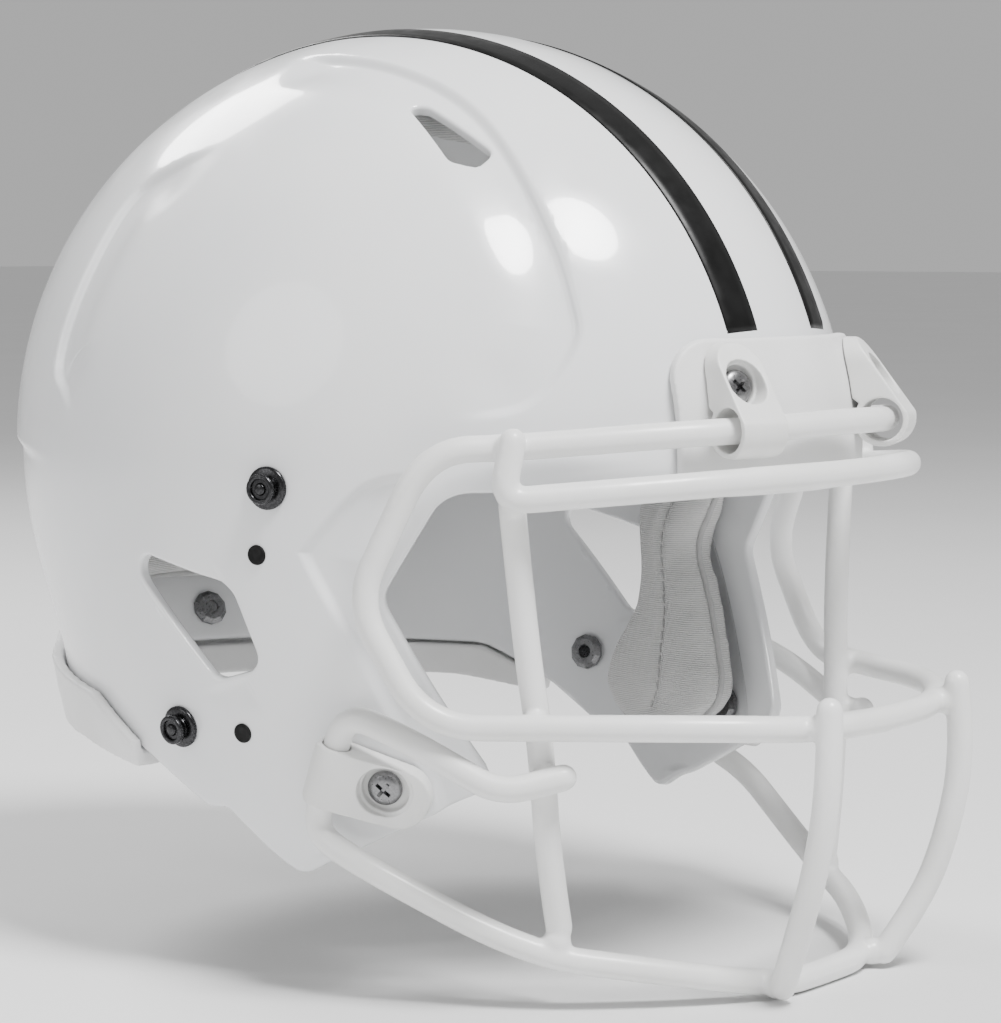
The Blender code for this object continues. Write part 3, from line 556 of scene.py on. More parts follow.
def trimmed_sheet():
    """Points and faces of the plain surface up to its rim, with vertices placed on the rim itself."""
    directions, quads = cube_sphere(SHELL_CELLS)
    p = onto_skin(directions)
    distance = kept(p)
    spacing = HALF_LENGTH * math.pi / 2 / SHELL_CELLS
    near = np.abs(distance) < 0.35 * spacing
    p[near] = onto_rim(p[near])
    distance[near] = 0
    kept_corners = (distance >= 0)[quads].sum(1)
    faces = quads[kept_corners == 4].tolist()
    crossings, starts = {}, []
    for quad in quads[(kept_corners > 0) & (kept_corners < 4)].tolist():
        corners = []
        for i, j in zip(quad, quad[1:] + quad[:1]):
            if distance[i] >= 0:
                corners.append(i)
            if distance[i] * distance[j] < 0:
                key = (min(i, j), max(i, j))
                if key not in crossings:
                    share = distance[i] / (distance[i] - distance[j])
                    crossings[key] = len(p) + len(starts)
                    starts.append(p[i] + share * (p[j] - p[i]))
                corners.append(crossings[key])
        if len(corners) >= 3:
            faces.append(corners)
    p = np.vstack([p, onto_rim(onto_skin(np.array(starts)))])
    used = sorted({i for face in faces for i in face})
    renumbered = {old: new for new, old in enumerate(used)}
    return p[used], [[renumbered[i] for i in face] for face in faces]


def refined(p, faces, passes=2):
    """The sheet with its faces split in four, and in four again, where a crease steps down."""
    for _ in range(passes):
        pressed = pressed_in(p)
        bm = bmesh.new()
        corners = [bm.verts.new(point) for point in p]
        for face in faces:
            bm.faces.new([corners[i] for i in face])
        bm.verts.index_update()
        beside = set()
        for edge in bm.edges:
            start, end = edge.verts
            if abs(pressed[start.index] - pressed[end.index]) > REFINE_STEP:
                beside.update(edge.link_faces)
        split = [edge for edge in bm.edges if not edge.is_boundary and not beside.isdisjoint(edge.link_faces)]
        bmesh.ops.subdivide_edges(bm, edges=split, cuts=1, use_grid_fill=True)
        bm.verts.index_update()
        p = onto_skin(np.array([vertex.co for vertex in bm.verts]))
        faces = [[vertex.index for vertex in face.verts] for face in bm.faces]
        bm.free()
    return p, faces


def open_edges(faces):
    """Directed edges that only one face uses."""
    seen = set()
    for face in faces:
        seen.update(zip(face, face[1:] + face[:1]))
    return [(i, j) for i, j in seen if (j, i) not in seen]


def rim_profile():
    """Section of the rounded edge as (outwards along the surface, depth below it)."""
    turns = [math.pi / 2 * k / 4 for k in range(1, 5)]
    outer = [(RIM_ROUND * math.sin(t), RIM_ROUND * (1 - math.cos(t))) for t in turns]
    inner = [(reach, SHELL_THICKNESS - depth) for reach, depth in reversed(outer)]
    return outer + inner


def make_shell():
    p, faces = refined(*trimmed_sheet())
    normals = normal_at(p)
    pressed = pressed_in(p)
    count = len(p)
    points = [p - normals * pressed[:, None], p - normals * (pressed + SHELL_THICKNESS)[:, None]]
    edges = sorted(open_edges(faces))
    rim = sorted({i for edge in edges for i in edge})
    place = {vertex: k for k, vertex in enumerate(rim)}
    outwards = -unit(tangent_slope(p[rim]))
    profile = rim_profile()
    for reach, depth in profile:
        points.append(p[rim] + outwards * reach - normals[rim] * (pressed[rim] + depth)[:, None])
    faces = faces + [[i + count for i in reversed(face)] for face in faces]
    for i, j in edges:
        rings = [2 * count + k * len(rim) for k in range(len(profile))]
        left = [i] + [ring + place[i] for ring in rings] + [i + count]
        right = [j] + [ring + place[j] for ring in rings] + [j + count]
        faces += [[right[k], left[k], left[k + 1], right[k + 1]] for k in range(len(left) - 1)]
    shell = new_mesh_object("helmet_shell", np.vstack(points) + DOME_CENTRE, faces)
    finish_piece(shell, "shell", shell_paint(), ["shell"])


# ---- stripes and bumpers


def slab(low, high):
    """Points and faces of a closed slab between two grids of points."""
    columns, rows = low.shape[:2]
    points = np.vstack([low.reshape(-1, 3), high.reshape(-1, 3)])
    bottom = np.arange(columns * rows).reshape(columns, rows)
    faces = []
    for index in (bottom.T, bottom + columns * rows):
        corners = (index[:-1, :-1], index[1:, :-1], index[1:, 1:], index[:-1, 1:])
        faces += np.stack(corners, -1).reshape(-1, 4).tolist()
    rim = np.concatenate([bottom[:-1, 0], bottom[-1, :-1], bottom[:0:-1, -1], bottom[0, :0:-1]]).tolist()
    up = columns * rows
    faces += [[i, j, j + up, i + up] for i, j in zip(rim, rim[1:] + rim[:1])]
    return points, faces


def make_stripes():
    """Vinyl bands that follow the dome from the brow bumper to the nape, with their edges pressed down."""
    front, back = STRIPE_ANGLES
    edge = 0.0004
    flat = np.linspace(edge, STRIPE_WIDTH - edge, 5)
    across = np.concatenate([[0], flat, [STRIPE_WIDTH]])
    angles = np.linspace(front, back, 200)
    lift = np.full((len(across), len(angles)), STRIPE_LIFT + STRIPE_THICKNESS)
    lift[[0, -1], :] = 0
    lift[:, [0, -1]] = 0
    for side, word in SIDES:
        x = side * (STRIPE_INNER + across)
        plain = ring_point(x[:, None], angles[None, :])
        stripe = solid(f"vinyl_stripe_{word}", slab(on_shell(plain, -0.0002), on_shell(plain, lift)))
        finish_piece(stripe, "shell", vinyl(), [f"stripe_{word}"])


def between(at, stops):
    """Value on a line through (at, value) stops in millimetres, for at in metres."""
    stops = np.array(stops) * MM
    return np.interp(at, stops[:, 0], stops[:, 1])


def stepped_out(p, offset):
    """Points moved off the plain surface at the same height."""
    flat = normal_at(p)
    flat[..., 2] = 0
    return p + flat * (offset / (flat**2).sum(-1))[..., None]


def hooked_section(place, top, rim, bottom, bulge):
    """L-shaped loop: down the outer face, under the rim and up inside it, then up the inner face.

    place(height, offset) puts a corner on the shell; bulge adds a crown to the outer face.
    """
    down = np.linspace(0, 1, 16)
    foot = [bottom, bottom, rim - 0.0007, rim - 0.0007]
    heights = np.concatenate([top + (rim - top) * down, foot, rim + (top - rim) * down])
    crown = bulge * np.sin(np.pi * np.clip(down, 0.06, 0.94)) ** 0.5
    offsets = np.concatenate([BUMPER_THICKNESS - bulge + crown, [BUMPER_THICKNESS * 0.8], [-BUMPER_INSIDE],
                              [-BUMPER_INSIDE, 0.0006], np.full(16, 0.0006)])
    return place(heights, offsets)


def brow_height(x):
    """Top edge of the front bumper at x, rounded off at its two corners."""
    over = np.maximum(np.abs(x) - (BUMPER_HALF_WIDTH - BUMPER_CORNER), 0)
    return BUMPER_TOP - BUMPER_CORNER + math.sqrt(max(BUMPER_CORNER**2 - over**2, 0.0))


def make_bumper(name, replaced, sections, voxel):
    bumper = melt(solid(name, lofted([section + DOME_CENTRE for section in sections])), voxel, 8)
    finish_piece(bumper, "shell", bumper_plastic(), [replaced])


def make_front_bumper():
    sections = []
    rim = BROW_Z * MM
    for k in range(61):
        x = BUMPER_HALF_WIDTH * math.sin(math.pi * (k / 60 - 0.5))

        def place(heights, offsets):
            return stepped_out(front_point(np.full(heights.shape, x), heights), offsets)

        sections.append(hooked_section(place, brow_height(x), rim, rim - BUMPER_LIP, BROW_CROWN))
    make_bumper("brow_bumper", "front_bumper", sections, BROW_VOXEL)


def make_rear_bumper():
    sections = []
    for k in range(121):
        turn = 180 + REAR_BUMPER_TURN * (2 * k / 120 - 1)

        def place(heights, offsets):
            p = belt_point(np.full(heights.shape, turn), heights)
            return stepped_out(p, np.where(offsets > 0, offsets, offsets - 0.0004))

        y = belt_point(turn, -0.080)[1]
        top, rim, bottom = (between(y, line) for line in (REAR_TOP, REAR_RIM, REAR_BOTTOM))
        sections.append(hooked_section(place, top, rim, bottom, 0.0))
    make_bumper("nape_bumper", "rear_bumper", sections, NAPE_VOXEL)


# ---- facemask cage


def bent_path(corners, step=0.0022):
    """Centre line through straight runs and bends. A bend starts and ends its reach from the corner, or half
    way to the next one where it has none."""
    points = [np.array(corner[:3], float) * MM for corner in corners]
    path = [points[0]]
    for i in range(1, len(corners) - 1):
        legs = []
        for other, half in ((points[i - 1], i > 1), (points[i + 1], i < len(corners) - 2)):
            leg = other - points[i]
            size = np.linalg.norm(leg)
            reach = min([size * (0.5 if half else 1.0)] + [mm * MM for mm in corners[i][3:]])
            legs.append(points[i] + leg / size * reach)
        path += straight(path[-1], legs[0], step)
        count = max(3, math.ceil(np.linalg.norm(legs[1] - legs[0]) / step))
        for t in np.linspace(0, 1, count + 1)[1:]:
            path.append((1 - t) ** 2 * legs[0] + 2 * t * (1 - t) * points[i] + t * t * legs[1])
    return np.array(path + straight(path[-1], points[-1], step))


def straight(start, end, step):
    """Points from start, without it, to end."""
    length = np.linalg.norm(end - start)
    if length < 1e-6:
        return []
    return [start + (end - start) * t for t in np.linspace(0, 1, max(2, math.ceil(length / step) + 1))[1:]]


def mirrored(half):
    """Whole path from the wearer's right to the left, from a half that starts on the middle line."""
    return [(-x, *rest) for x, *rest in reversed(half[1:])] + list(half)


def tube(path, radius, sides=14):
    """Points and faces of a round rod along an open path, with domed ends."""
    tangents = unit(np.gradient(path, axis=0))
    across = np.array(Vector(tangents[0]).orthogonal().normalized())
    rings = []
    angles = np.linspace(0, 2 * math.pi, sides, endpoint=False)[:, None]
    stations = [(0, -math.sin(t), math.cos(t)) for t in (1.35, 0.9, 0.45)]
    stations += [(i, 0, 1) for i in range(len(path))]
    stations += [(len(path) - 1, math.sin(t), math.cos(t)) for t in (0.45, 0.9, 1.35)]
    for i, shift, share in stations:
        across = unit(across - tangents[i] * (across @ tangents[i]))
        beside = np.cross(tangents[i], across)
        centre = path[i] + tangents[i] * radius * shift
        rings.append(centre + radius * share * (np.cos(angles) * across + np.sin(angles) * beside))
    return lofted(rings)


def rod_paths():
    rods = {"ring_bar": bent_path(mirrored(RING_HALF) + mirrored(RING_HALF)[1:4])}
    rods["brow_bar"] = bent_path(mirrored(BROW_HALF))
    rods["jaw_bar"] = bent_path(mirrored(JAW_HALF))
    for side, word in SIDES:
        for name, corners in (("side_bar", SIDE_BAR), ("centre_bar", CENTRE_BAR)):
            rods[f"{name}_{word}"] = bent_path([(side * x, *rest) for x, *rest in corners])
    return rods


def weld_points(rods):
    """Where two rods touch: the middle of each closest approach."""
    names = sorted(rods)
    found = []
    for i, a in enumerate(names):
        for b in names[i + 1:]:
            gaps = np.linalg.norm(rods[a][:, None] - rods[b][None], axis=2)
            for flat in np.argsort(gaps, axis=None):
                m, n = np.unravel_index(flat, gaps.shape)
                if gaps[m, n] > WELD_REACH:
                    break
                middle = (rods[a][m] + rods[b][n]) / 2
                if all(np.linalg.norm(middle - other) > WELD_SPACING for other in found):
                    found.append(middle)
    return found


def gathered(bodies):
    """Several bodies' points and faces as one."""
    points, faces = [], []
    for some_points, some_faces in bodies:
        shift = len(points)
        points += [tuple(p) for p in some_points]
        faces += [[i + shift for i in face] for face in some_faces]
    return points, faces


def make_cage():
    """Welded rods under one vinyl coat, which fills the corners at the welds."""
    rods = rod_paths()
    bodies = [tube(path + DOME_CENTRE, ROD_RADIUS) for path in rods.values()]
    turns = np.linspace(0.4, 2.74, 7)
    bead = [(0, -WELD_RADIUS)] + [(WELD_RADIUS * math.sin(t), -WELD_RADIUS * math.cos(t)) for t in turns]
    for middle in weld_points(rods):
        bodies.append(turned(bead + [(0, WELD_RADIUS)], middle + DOME_CENTRE, (0, 0, 1), 14))
    cage = melt(solid("facemask_cage", gathered(bodies)), CAGE_VOXEL, 10)
    replaced = list(rods)
    finish_piece(cage, "facemask", dipped_vinyl(), replaced)


# ---- clips


def height_over_skin(p, out):
    """Distance from points near the shell down to its plain surface, against the direction out."""
    return halved(lambda t: level(p - out * t[..., None]) > 1, -0.03, 0.04, p.shape[:-1])[..., 0]


def clip_section(origin, run, out, clearance, length, outer, half_width, thickness):
    """Side view of a clip in (out, run): a loop round a bar at the origin and a plate along the shell."""
    along = np.cross(out, run)
    heights = np.linspace(length, 0.75 * outer, 12)
    across = np.array([-half_width, 0, half_width])
    over = origin + heights[:, None, None] * run + across[None, :, None] * along
    plate = np.stack((clearance - height_over_skin(over, out).min(1), heights), -1)
    turns = np.radians(np.linspace(145, 375, 40))
    loop = outer * np.stack((np.cos(turns), np.sin(turns)), -1)
    front = plate[0, 0] + thickness
    return np.vstack([plate, loop, [(front, length - 0.0015), (front - 0.0015, length)]])


def capsule(half_width, half_length):
    """Outline in millimetres of a slot with round ends, longer along v."""
    return rounded_outline([(u * half_width, v * half_length, half_width * 0.98)
                            for u, v in ((-1, -1), (1, -1), (1, 1), (-1, 1))])


def make_clip(name, replaced, body, axes, screw, clearance, length, loop, plate):
    """Moulded strap: a loop round a bar and a round-ended plate with an oval pocket for its screw."""
    origin, run, out = axes
    inner, outer = loop
    half_width, thickness = plate
    site, axis = screw
    along = np.cross(out, run)
    section = clip_section(origin, run, out, clearance, length, outer, half_width, thickness)
    clip = solid(name, prism(section, origin, out, run, -half_width, half_width))
    w, top, bottom = half_width / MM, length / MM, -outer / MM
    face = rounded_outline([(-w, top, w * 0.93), (w, top, w * 0.93), (w, bottom, 2.5), (-w, bottom, 2.5)])
    combine(clip, prism(face, origin, along, run, -0.03, 0.03), "INTERSECT")
    reach = half_width + 0.004
    hole = [(0, -reach), (inner, -reach), (inner, reach), (0, reach)]
    combine(clip, turned(hole, origin, along, 40))
    v = unit(run - axis * (run @ axis))
    u = np.cross(v, axis)
    base = site + axis * (clearance + CLIP_FLOOR)
    for wide, high, shift, above in POCKET_STEPS:
        pocket = capsule(half_width * wide / MM, half_width * high / MM)
        combine(clip, prism(pocket, base + v * shift, u, v, above, CUT_THROUGH))
    shank = [(0, -0.01), (0.0025, -0.01), (0.0025, 0.01), (0, 0.01)]
    combine(clip, turned(shank, base, axis, 24))
    clip.data.transform(Matrix.Translation(DOME_CENTRE))
    melt(clip, CLIP_VOXEL, 5)
    finish_piece(clip, body, clip_plastic(), [replaced])


def top_screw_site(side):
    x, z = TOP_SCREW
    return front_point(side * x, z)


def make_clips():
    turn = math.radians(CLIP_TURN)
    for side, word in SIDES:
        mirror = np.array((side, 1, 1))
        site = top_screw_site(side)
        out = np.array((math.sin(turn), -math.cos(turn), 0)) * mirror
        axes = (CLIP_AT * mirror, np.array((0, 0, 1)), out)
        screw = (site, normal_at(site))
        make_clip(f"brow_strap_{word}", f"top_clip_{word}", "shell", axes, screw, **TOP_CLIP)
        site = side_point(side, *SIDE_SCREW)
        axis = normal_at(site)
        lower, upper = (np.array(corner[:3]) * mirror * MM for corner in JAW_RUN_IN_CLIP)
        along = unit(lower - upper)
        run = unit(np.cross(along, axis) * side)
        axes = ((upper + lower) / 2, run, unit(np.cross(run, along) * side))
        make_clip(f"jaw_strap_{word}", f"side_clip_{word}", "facemask", axes, (site, axis), **SIDE_CLIP)


# ---- screws, snaps and valves


def lathed(name, profile, place, axis, segments):
    """Solid turned round an axis, from (radius, height) in millimetres."""
    profile = [(radius * MM, height * MM) for radius, height in profile]
    return solid(name, turned(profile, place, axis, segments))


def make_screw(name, replaced, body, site, seat, tip):
    """Pan-head screw with a tapered cross drive, its head's underside at a seat height over the shell."""
    axis = normal_at(site)
    head = [
        (4.95, 0), (5.2, 0.25), (5.2, 1.0), (5.0, 1.6), (4.5, 2.15), (3.6, 2.6), (2.4, 2.85), (1.2, 2.95),
        (0, 2.97),
    ]
    profile = [(0, tip), (2.2, tip), (2.2, seat)] + [(radius, seat + height) for radius, height in head]
    place = site + DOME_CENTRE
    screw = lathed(name, profile, place, axis, 48)
    top = place + axis * (seat + 3.0) * MM
    u = Vector(axis).orthogonal().normalized()
    v = Vector(axis).cross(u)
    wedge = [(-0.0033, 0.0006), (0.0033, 0.0006), (0.0012, -0.0019), (-0.0012, -0.0019)]
    for across in (u, v):
        combine(screw, prism(wedge, top, across, axis, -0.00055, 0.00055))
    screw.data.set_sharp_from_angle(angle=math.radians(32))
    finish_piece(screw, body, zinc_steel(), [replaced])


def make_snap(name, replaced, site):
    """Snap post for the chin strap: a domed flange, a waisted knob and a ringed top."""
    profile = [
        (0, -7.0), (2.2, -7.0), (2.2, 0.0), (6.3, 0.0), (6.4, 0.25), (6.4, 0.95), (6.1, 1.35), (5.5, 1.55),
        (4.3, 1.65), (3.75, 1.8), (3.6, 2.2), (3.65, 2.6), (4.2, 3.0), (4.5, 3.3), (4.5, 4.6), (4.35, 5.0),
        (4.0, 5.18), (3.4, 5.18), (3.1, 5.0), (3.0, 4.5), (2.9, 4.3), (1.9, 4.3), (1.75, 4.5), (1.6, 4.9),
        (1.3, 5.1), (0, 5.1),
    ]
    snap = lathed(name, profile, on_shell(site), normal_at(site), 48)
    snap.data.set_sharp_from_angle(angle=math.radians(50))
    finish_piece(snap, "shell", blackened_metal(), [replaced])


def make_valve(name, replaced, site):
    """Rubber valve plug with a rounded lip and a shallow dish."""
    profile = [
        (0, -4.8), (2.8, -4.8), (3.0, 0.1), (2.95, 0.45), (2.7, 0.7), (2.2, 0.75), (1.6, 0.6), (0.8, 0.5),
        (0, 0.48),
    ]
    plug = lathed(name, profile, on_shell(site), normal_at(site), 36)
    finish_piece(plug, "shell", black_rubber(), [replaced])


def make_fasteners():
    for side, word in SIDES:
        front = top_screw_site(side)
        jaw = side_point(side, *SIDE_SCREW)
        nape = belt_point(180 - side * REAR_SCREW_TURN, REAR_SCREW_Z)
        make_screw(f"brow_screw_{word}", f"top_clip_screw_{word}", "shell", front, TOP_SEAT, SCREW_TIP)
        make_screw(f"jaw_screw_{word}", f"side_clip_screw_{word}", "facemask", jaw, SIDE_SEAT, SHORT_TIP)
        make_screw(f"nape_screw_{word}", f"rear_bumper_screw_{word}", "shell", nape, REAR_SEAT, SCREW_TIP)
        for where in ("upper", "lower"):
            make_snap(f"{where}_strap_post_{word}", f"{where}_snap_{word}", side_point(side, *SNAPS[where]))
            make_valve(f"{where}_air_valve_{word}", f"{where}_valve_{word}", side_point(side, *VALVES[where]))
    for name, node in frame["nodes"].items():
        if "_nut_" in name:
            node.data.materials.clear()
            node.data.materials.append(zinc_steel())


# ---- liner pads


def mix(low, high, share):
    return low + (high - low) * share


def pad_places():
    """For each pad: the plain surface point at (a, b) from 0 to 1, and its seams as lines of (a, b)."""
    line = np.linspace(0.04, 0.96, 60)
    half = np.full(60, 0.5)
    places = {}
    for name, (turns, heights) in BELT_PADS.items():
        places[name] = (
            lambda a, b, turns=turns, heights=heights: belt_point(mix(*turns, a), mix(*heights, b)),
            [(np.full(60, share), line) for share in (1 / 3, 2 / 3)],
        )
    widths, angles = CROWN_PAD
    places["crown_pad"] = (
        lambda a, b: ring_point(mix(*widths, a), mix(*angles, b)),
        [(half, line), (line, half)],
    )
    for side, word in SIDES:
        seam = (0.40 + 0.06 * line, line)
        places[f"jaw_pad_{word}"] = (lambda a, b, side=side: jaw_place(side, a, b), [seam])
    return places


def jaw_place(side, a, b):
    z = mix(*JAW_PAD_HEIGHTS, b)
    return side_point(side, mix(between(z, JAW_PAD_FRONT), between(z, JAW_PAD_REAR), a), z)


def under(plain, depth):
    """Points at a depth under the plain outer surface, in the world."""
    return plain - normal_at(plain) * np.asarray(depth)[..., None] + DOME_CENTRE


def pillow(u, v):
    """Places on a pad at (u, v) from -1 to 1, with the pad's corners rounded in plan."""
    return 0.5 + 0.5 * u * np.sqrt(1 - 0.16 * v**2), 0.5 + 0.5 * v * np.sqrt(1 - 0.16 * u**2)


def pad_form(place):
    """Closed pillow: full thickness in the middle and thin at its edge."""
    u, v = np.meshgrid(np.linspace(-1, 1, 33), np.linspace(-1, 1, 33), indexing="ij")
    full = (np.clip(1 - np.abs(u) ** 7, 0, 1) * np.clip(1 - np.abs(v) ** 7, 0, 1)) ** 0.4
    half = (0.06 + 0.94 * full) * (0.5 * PAD_THICKNESS - 0.0012)
    plain = place(*pillow(u, v))
    return slab(under(plain, PAD_MIDDLE + half), under(plain, PAD_MIDDLE - half))


def puff(pads, most=0.0022):
    """Cloth simulation that inflates the pads' covers. No point moves more than most."""
    values = {
        "quality": 5, "mass": 0.2, "tension_stiffness": 12, "compression_stiffness": 12,
        "bending_stiffness": 0.4, "use_pressure": True, "uniform_pressure_force": 4.0,
    }
    for pad in pads:
        settings = pad.modifiers.new("puff", "CLOTH").settings
        for key, value in values.items():
            setattr(settings, key, value)
        settings.effector_weights.gravity = 0
    for step in range(1, 21):
        bpy.context.scene.frame_set(step)
    depsgraph = bpy.context.evaluated_depsgraph_get()
    for pad in pads:
        rest = vectors(pad.data)
        moved = vectors(pad.evaluated_get(depsgraph).data) - rest
        length = np.linalg.norm(moved, axis=1, keepdims=True)
        pad.modifiers.clear()
        set_vertices(pad.data, rest + moved * np.minimum(1, most / np.maximum(length, 1e-9)))
    bpy.context.scene.frame_set(1)


def vectors(mesh, kind="co"):
    """The mesh's vertices as rows: their places, or their normals."""
    values = np.zeros(len(mesh.vertices) * 3, np.float32)
    mesh.vertices.foreach_get(kind, values)
    return values.reshape(-1, 3).astype(float)


def set_vertices(mesh, points):
    mesh.vertices.foreach_set("co", np.asarray(points, np.float32).ravel())
    mesh.update()


def nearest_on(obj, points):
    """The closest points of a mesh to given points, with the mesh's outward directions there."""
    tree = BVHTree.FromObject(obj, bpy.context.evaluated_depsgraph_get())
    hits = [tree.find_nearest(Vector(p)) for p in points]
    return np.array([hit[0] for hit in hits]), np.array([hit[1] for hit in hits])


def evened(line, passes=14):
    """A line of points with its small kinks smoothed out."""
    for _ in range(passes):
        line = np.vstack([line[:1], (line[:-2] + 2 * line[1:-1] + line[2:]) / 4, line[-1:]])
    return line


def sew(pad, line, depth, width):
    """Presses a seam's groove into a pad along a line of points."""
    points = vectors(pad.data)
    distance, _, _ = to_line(points, line)
    press = depth * np.exp(-((distance / width) ** 2))
    set_vertices(pad.data, points - vectors(pad.data, "normal") * press[:, None])


def stitches(line, lift):
    """Short threads along a seam: points and faces of many small rods."""
    lengths = path_lengths(line)
    arch = 0.0001 + 0.00025 * np.sin(np.linspace(0, math.pi, 5))[:, None]
    bodies = []
    for start in np.arange(0.001, lengths[-1] - STITCH_LENGTH, STITCH_PITCH):
        ends = np.linspace(start, start + STITCH_LENGTH, 5)
        path, up = (
            np.stack([np.interp(ends, lengths, column) for column in rows.T], -1) for rows in (line, lift)
        )
        bodies.append(tube(path + up * arch, THREAD_RADIUS, 6))
    return gathered(bodies)


def make_pads():
    """Foam pads with sewn covers: inflated, seamed along the edge and across, piped and stitched."""
    places = pad_places()
    pads = {}
    for name, (place, _) in places.items():
        pads[name] = melt(solid(f"liner_{name}", pad_form(place)), PAD_VOXEL, 3)
    puff(pads.values())
    around = np.linspace(0, 2 * math.pi, 161)
    rounded_square = [np.clip(1.45 * wave(around), -1, 1) for wave in (np.cos, np.sin)]
    for name, (place, channels) in places.items():
        pad = pads[name]
        subdivision = pad.modifiers.new("fine", "SUBSURF")
        subdivision.levels = subdivision.render_levels = 2
        bake_modifiers(pad)
        edge, _ = nearest_on(pad, under(place(*pillow(*rounded_square)), np.full(len(around), PAD_MIDDLE)))
        threads = []
        for a, b in channels:
            deep = np.full(len(a), PAD_TOP + PAD_THICKNESS + 0.004)
            line, _ = nearest_on(pad, under(place(a, b), deep))
            line = evened(line)
            sew(pad, line, *SEAM)
            line, up = nearest_on(pad, line)
            threads.append(stitches(evened(line), evened(up)))
        sew(pad, edge, *EDGE_SEAM)
        edge, up = nearest_on(pad, edge)
        finish_piece(pad, "shell", liner_fabric(), [name])
        cord = tube(edge + up * 0.0004, PIPING_RADIUS, 10)
        piping = new_mesh_object(f"{name}_piping", *gathered([cord] + threads))
        finish_piece(piping, "shell", piping_thread(), [])


# ---- materials


class Nodes:
    """Short way to add shader nodes to a material."""

    def __init__(self, name, colour, roughness, metallic=0.0):
        self.material = bpy.data.materials.new(name)
        self.material.use_nodes = True
        self.tree = self.material.node_tree
        self.shader = self.tree.nodes["Principled BSDF"]
        self.put(self.shader, {"Metallic": metallic, "Base Color": (*colour, 1), "Roughness": roughness})
        self.place = self.add("TexCoord", {}).outputs["Object"]

    def add(self, kind, inputs, **settings):
        node = self.tree.nodes.new("ShaderNode" + kind)
        for key, value in settings.items():
            setattr(node, key, value)
        self.put(node, inputs)
        return node

    def put(self, node, inputs):
        """Sets a node's inputs, each to a value or to another node's output."""
        for key, value in inputs.items():
            if isinstance(value, bpy.types.NodeSocket):
                self.tree.links.new(value, node.inputs[key])
            else:
                node.inputs[key].default_value = value

    def noise(self, scale, detail, stretch=None):
        place = self.place
        if stretch:
            place = self.add("Mapping", {"Vector": place, "Scale": stretch}).outputs["Vector"]
        return self.add("TexNoise", {"Vector": place, "Scale": scale, "Detail": detail}).outputs["Fac"]

    def spread(self, value, low, high, start=0.35, end=0.65):
        """Maps a value's middle band to low .. high."""
        ends = {"From Min": start, "From Max": end, "To Min": low, "To Max": high}
        return self.add("MapRange", {"Value": value, **ends}).outputs["Result"]

    def tint(self, value, dark, light):
        """Colour between two, by a value from 0 to 1."""
        colours = self.add("Mix", {0: value, 6: (*dark, 1), 7: (*light, 1)}, data_type="RGBA")
        self.put(self.shader, {"Base Color": colours.outputs[2]})

    def bump(self, height, distance, strength, under=None):
        node = self.add("Bump", {"Height": height, "Distance": distance, "Strength": strength})
        if under:
            self.put(node, {"Normal": under})
        self.put(self.shader, {"Normal": node.outputs["Normal"]})
        return node.outputs["Normal"]


def coat(name, colour, roughness, mottle, wear, grains, metallic=0.0, **shader):
    """Material with a mottled colour, an uneven gloss and layers of fine relief.

    mottle is (noise, dark, light, band of the noise), wear is (noise, smoothest, roughest), and each grain is
    (noise, height, strength). Other settings go to the shader.
    """
    n = Nodes(name, colour, roughness, metallic)
    n.put(n.shader, {key.replace("_", " "): value for key, value in shader.items()})
    cloud, dark, light, *band = mottle
    n.tint(n.spread(n.noise(*cloud), 0, 1, *band), dark, light)
    scuffs, low, high = wear
    n.put(n.shader, {"Roughness": n.spread(n.noise(*scuffs), low, high)})
    under = None
    for grain, distance, strength in grains:
        under = n.bump(n.noise(*grain), distance, strength, under)
    return n.material


@cache
def shell_paint():
    """Glossy white shell: faint orange peel, soft cloudy dust and a hard clear coat."""
    return coat("shell_gloss_white", (0.86, 0.87, 0.88), 0.2,
                mottle=((14, 4), (0.82, 0.83, 0.845), (0.87, 0.875, 0.88)), wear=((60, 6), 0.16, 0.27),
                grains=[((420, 2), 0.00003, 0.35), ((2600, 1), 0.00001, 0.25)],
                Coat_Weight=0.6, Coat_Roughness=0.05)


@cache
def vinyl():
    """Black stripe vinyl: satin, with a very fine grain and faint rubbing."""
    return coat("stripe_black_vinyl", (0.012, 0.012, 0.013), 0.35,
                mottle=((90, 5), (0.003, 0.003, 0.003), (0.006, 0.006, 0.006)), wear=((160, 5), 0.28, 0.42),
                grains=[((3200, 2), 0.00002, 0.4)], Specular_IOR_Level=0.2)


@cache
def bumper_plastic():
    """Soft moulded bumper: satin white with an even spark-eroded grain."""
    return coat("bumper_white", (0.84, 0.84, 0.84), 0.45,
                mottle=((25, 4), (0.79, 0.79, 0.785), (0.85, 0.85, 0.85)), wear=((220, 4), 0.40, 0.52),
                grains=[((2200, 2), 0.00005, 0.5)])


@cache
def dipped_vinyl():
    """Vinyl coat of the mask: satin, slightly uneven from the dip, with soft scuffs."""
    return coat("mask_white_vinyl", (0.86, 0.86, 0.85), 0.38,
                mottle=((30, 5), (0.81, 0.81, 0.795), (0.87, 0.87, 0.865)), wear=((90, 5), 0.30, 0.46),
                grains=[((130, 2), 0.00012, 0.5), ((1500, 2), 0.00003, 0.35)],
                Coat_Weight=0.25, Coat_Roughness=0.2)


@cache
def clip_plastic():
    """Nylon strap: off-white, satin, with flow marks along the strap."""
    return coat("clip_white_plastic", (0.80, 0.80, 0.79), 0.4,
                mottle=((70, 4, (1, 1, 0.3)), (0.75, 0.75, 0.735), (0.82, 0.82, 0.81)),
                wear=((300, 4), 0.32, 0.48), grains=[((1800, 2), 0.00004, 0.4)],
                Subsurface_Weight=0.06, Subsurface_Radius=(0.002, 0.002, 0.002))


